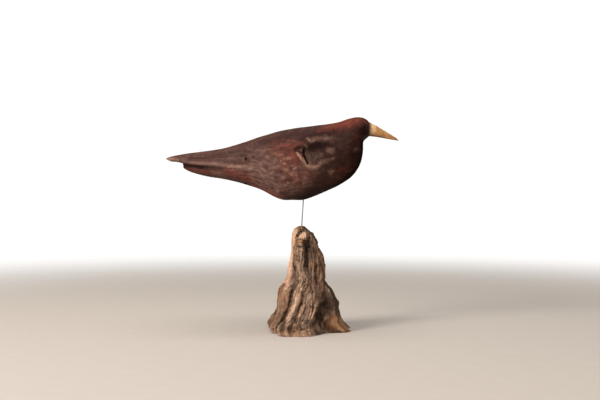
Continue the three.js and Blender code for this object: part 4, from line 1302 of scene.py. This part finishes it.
# %% [markdown]
# ## Colours of the stump
# Sun and salt have bleached the ridges to a pale peach, and raised places are painted
# paler still, partly as a painted highlight. The hollows are almost black, partly from
# dirt and old bark and partly from painted shade; the named dark places are mostly
# painted shade and shadow, in furrows, slots and pockets, round the knob, under the
# foot and on the right side, away from the window. The right foot and a few edges
# show orange-brown heartwood. So the colour follows the relief first, and the named
# places after that.

# %% Masks on the stump
stump_points = np.vstack([shaped.reshape(-1, 3), *foot_rings, foot_middle[None], *top_rings, top_middle[None]])
smooth_height = 0.6 * ropes + 0.6 * lumps + 0.45 * plate + 0.5 * chip + 0.4 * fine
relief_now = stump_relief(level, bearing, radius).ravel()
sunk = np.clip(-(relief_now) / 7, 0, 1)
# raised places, which are painted paler below: bleaching, and partly a painted highlight
ridge = np.clip(0.42 + 0.32 * smooth_height + 0.05 * relief_now, 0, 1)
chip_gap = 1 - smoothstep(chip_edge, 0.02, 0.3)
plate_gap = 1 - smoothstep(plate_edge, 0.02, 0.25)
# crevices darkened: partly dirt, partly painted shade (this line and the next two)
hollow_and_shade = rough * stringy * (0.55 * crease + 0.7 * crack_line)
hollow_and_shade += rough * (0.8 * pit_field * (0.3 + 0.7 * pitted) + 0.3 * plate_gap + 0.3 * chip_gap)
# painted shade in the sunken furrows as well
hollow_and_shade = np.clip(0.85 * hollow_and_shade + 0.45 * sunk * (1 - pale), 0, 1)
foot_ring_count = len(foot_rings) * SIDES + 1
top_ring_count = len(top_rings) * SIDES + 1


def with_caps(field, foot_value, top_value):
    shape = field.shape[1:]
    return np.concatenate((
        field, np.full((foot_ring_count, *shape), foot_value), np.full((top_ring_count, *shape), top_value),
    ))


grain_caps = np.vstack((*foot_rings, foot_middle[None], *top_rings, top_middle[None]))
fields = [np.vstack((stump_grain, grain_caps))]
for field, at_foot, at_top in ((pale, 0.25, 0.4), (warm, 0.3, 0.2), (dark_and_shade, 0.1, 0.1), (hollow_and_shade, 0.0, 0.2), (ridge, 0.5, 0.6)):
    fields.append(with_caps(field, at_foot, at_top))
on_mesh = moved_to_mesh(stump, stump_points, *fields)
for name, field in zip(("grain", "pale", "warm", "dark_and_shade", "hollow_and_shade", "ridge"), on_mesh):
    carry(stump, name, field)
print("masks on the stump: mean pale", pale.mean().round(2), "dark_and_shade", dark_and_shade.mean().round(2))

# %% The stump's material
weathered, add = new_material("weathered_stump")
grain = add("Attribute", attribute_name="grain").outputs["Vector"]


def fibre_noise(add, grain, along, across, seed, detail=3.0, rough=0.55):
    stretch = (1 / across, 1 / across, 1 / along)
    place = add("VectorMath", {0: grain, 1: stretch, 2: (seed, seed * 0.37, seed * 0.71)}, operation="MULTIPLY_ADD")
    return add("TexNoise", {"Vector": place.outputs[0], "Scale": 1.0, "Detail": detail, "Roughness": rough}).outputs[0]


broad_streaks = fibre_noise(add, grain, 24, 3.2, 3.0, 4.0)
fine_streaks = fibre_noise(add, grain, 8, 0.6, 9.0, 3.0)
place = add("TexCoord").outputs["Object"]
blotches = add("TexNoise", {"Vector": place, "Scale": 130.0, "Detail": 4.0, "Roughness": 0.6}).outputs[0]
grit = add("TexNoise", {"Vector": place, "Scale": 900.0, "Detail": 3.0}).outputs[0]

driftwood = ramp(add, broad_streaks, [(0.30, (0.085, 0.049, 0.033)), (0.48, (0.185, 0.113, 0.078)), (0.62, (0.31, 0.200, 0.142)), (0.75, (0.43, 0.295, 0.22))])
bleached_and_lit_tone = ramp(add, broad_streaks, [(0.3, (0.40, 0.222, 0.138)), (0.52, (0.66, 0.41, 0.272)), (0.72, (0.82, 0.57, 0.41))])
heartwood = ramp(add, broad_streaks, [(0.3, (0.16, 0.062, 0.024)), (0.5, (0.33, 0.150, 0.058)), (0.7, (0.50, 0.27, 0.12))])

cast = add("TexNoise", {"Vector": place, "Scale": 62.0, "Detail": 3.0, "Roughness": 0.6}).outputs[0]
driftwood = mixed(add, 0.75, driftwood, ramp(add, cast, [(0.36, (0.90, 0.98, 0.92)), (0.5, (1, 1, 1)), (0.64, (1.18, 0.98, 0.96))]), "MULTIPLY")
# paler on raised places: bleached wood, and partly a painted highlight
high_places = add("MapRange", {"Value": mask(add, "ridge"), "From Min": 0.45, "From Max": 0.95}).outputs[0]
pale_here = calc(add, "MAXIMUM", mask(add, "pale"), calc(add, "MULTIPLY", high_places, 0.55))
colour = mixed(add, pale_here, driftwood, bleached_and_lit_tone)
colour = mixed(add, calc(add, "MULTIPLY", mask(add, "warm"), calc(add, "MULTIPLY_ADD", blotches, 1.0, 0.35)), colour, heartwood)
colour = mixed(add, 0.75, colour, ramp(add, fine_streaks, [(0.3, 0.62), (0.62, 1.22)]), "MULTIPLY")
colour = mixed(add, 0.7, colour, ramp(add, blotches, [(0.3, 0.66), (0.65, 1.2)]), "MULTIPLY")
# near black tone for dirt and painted shade
deep_tone_and_shade = ramp(add, blotches, [(0.35, (0.020, 0.012, 0.008)), (0.65, (0.075, 0.042, 0.025))])
# hollows: dirt, and painted shade
colour = mixed(add, calc(add, "MULTIPLY", mask(add, "hollow_and_shade"), 0.75), colour, deep_tone_and_shade)
# painted shade and shadow at the named dark places
colour = mixed(add, calc(add, "MULTIPLY", mask(add, "dark_and_shade"), 0.88), colour, deep_tone_and_shade)

surface = mixed(add, 0.45, fine_streaks, grit)
finish_material(add, colour, ramp(add, blotches, [(0.3, 0.78), (0.7, 0.94)]), surface, 0.0004, **{"Specular IOR Level": 0.22})
dress(stump, "driftwood_stump", weathered)

# %% [markdown]
# ## Size and finish
# The box of each finer mesh is printed when it is set in place. The finer meshes have
# to keep to the box of the plain solids.

# %% Update the scene
bpy.context.view_layer.update()
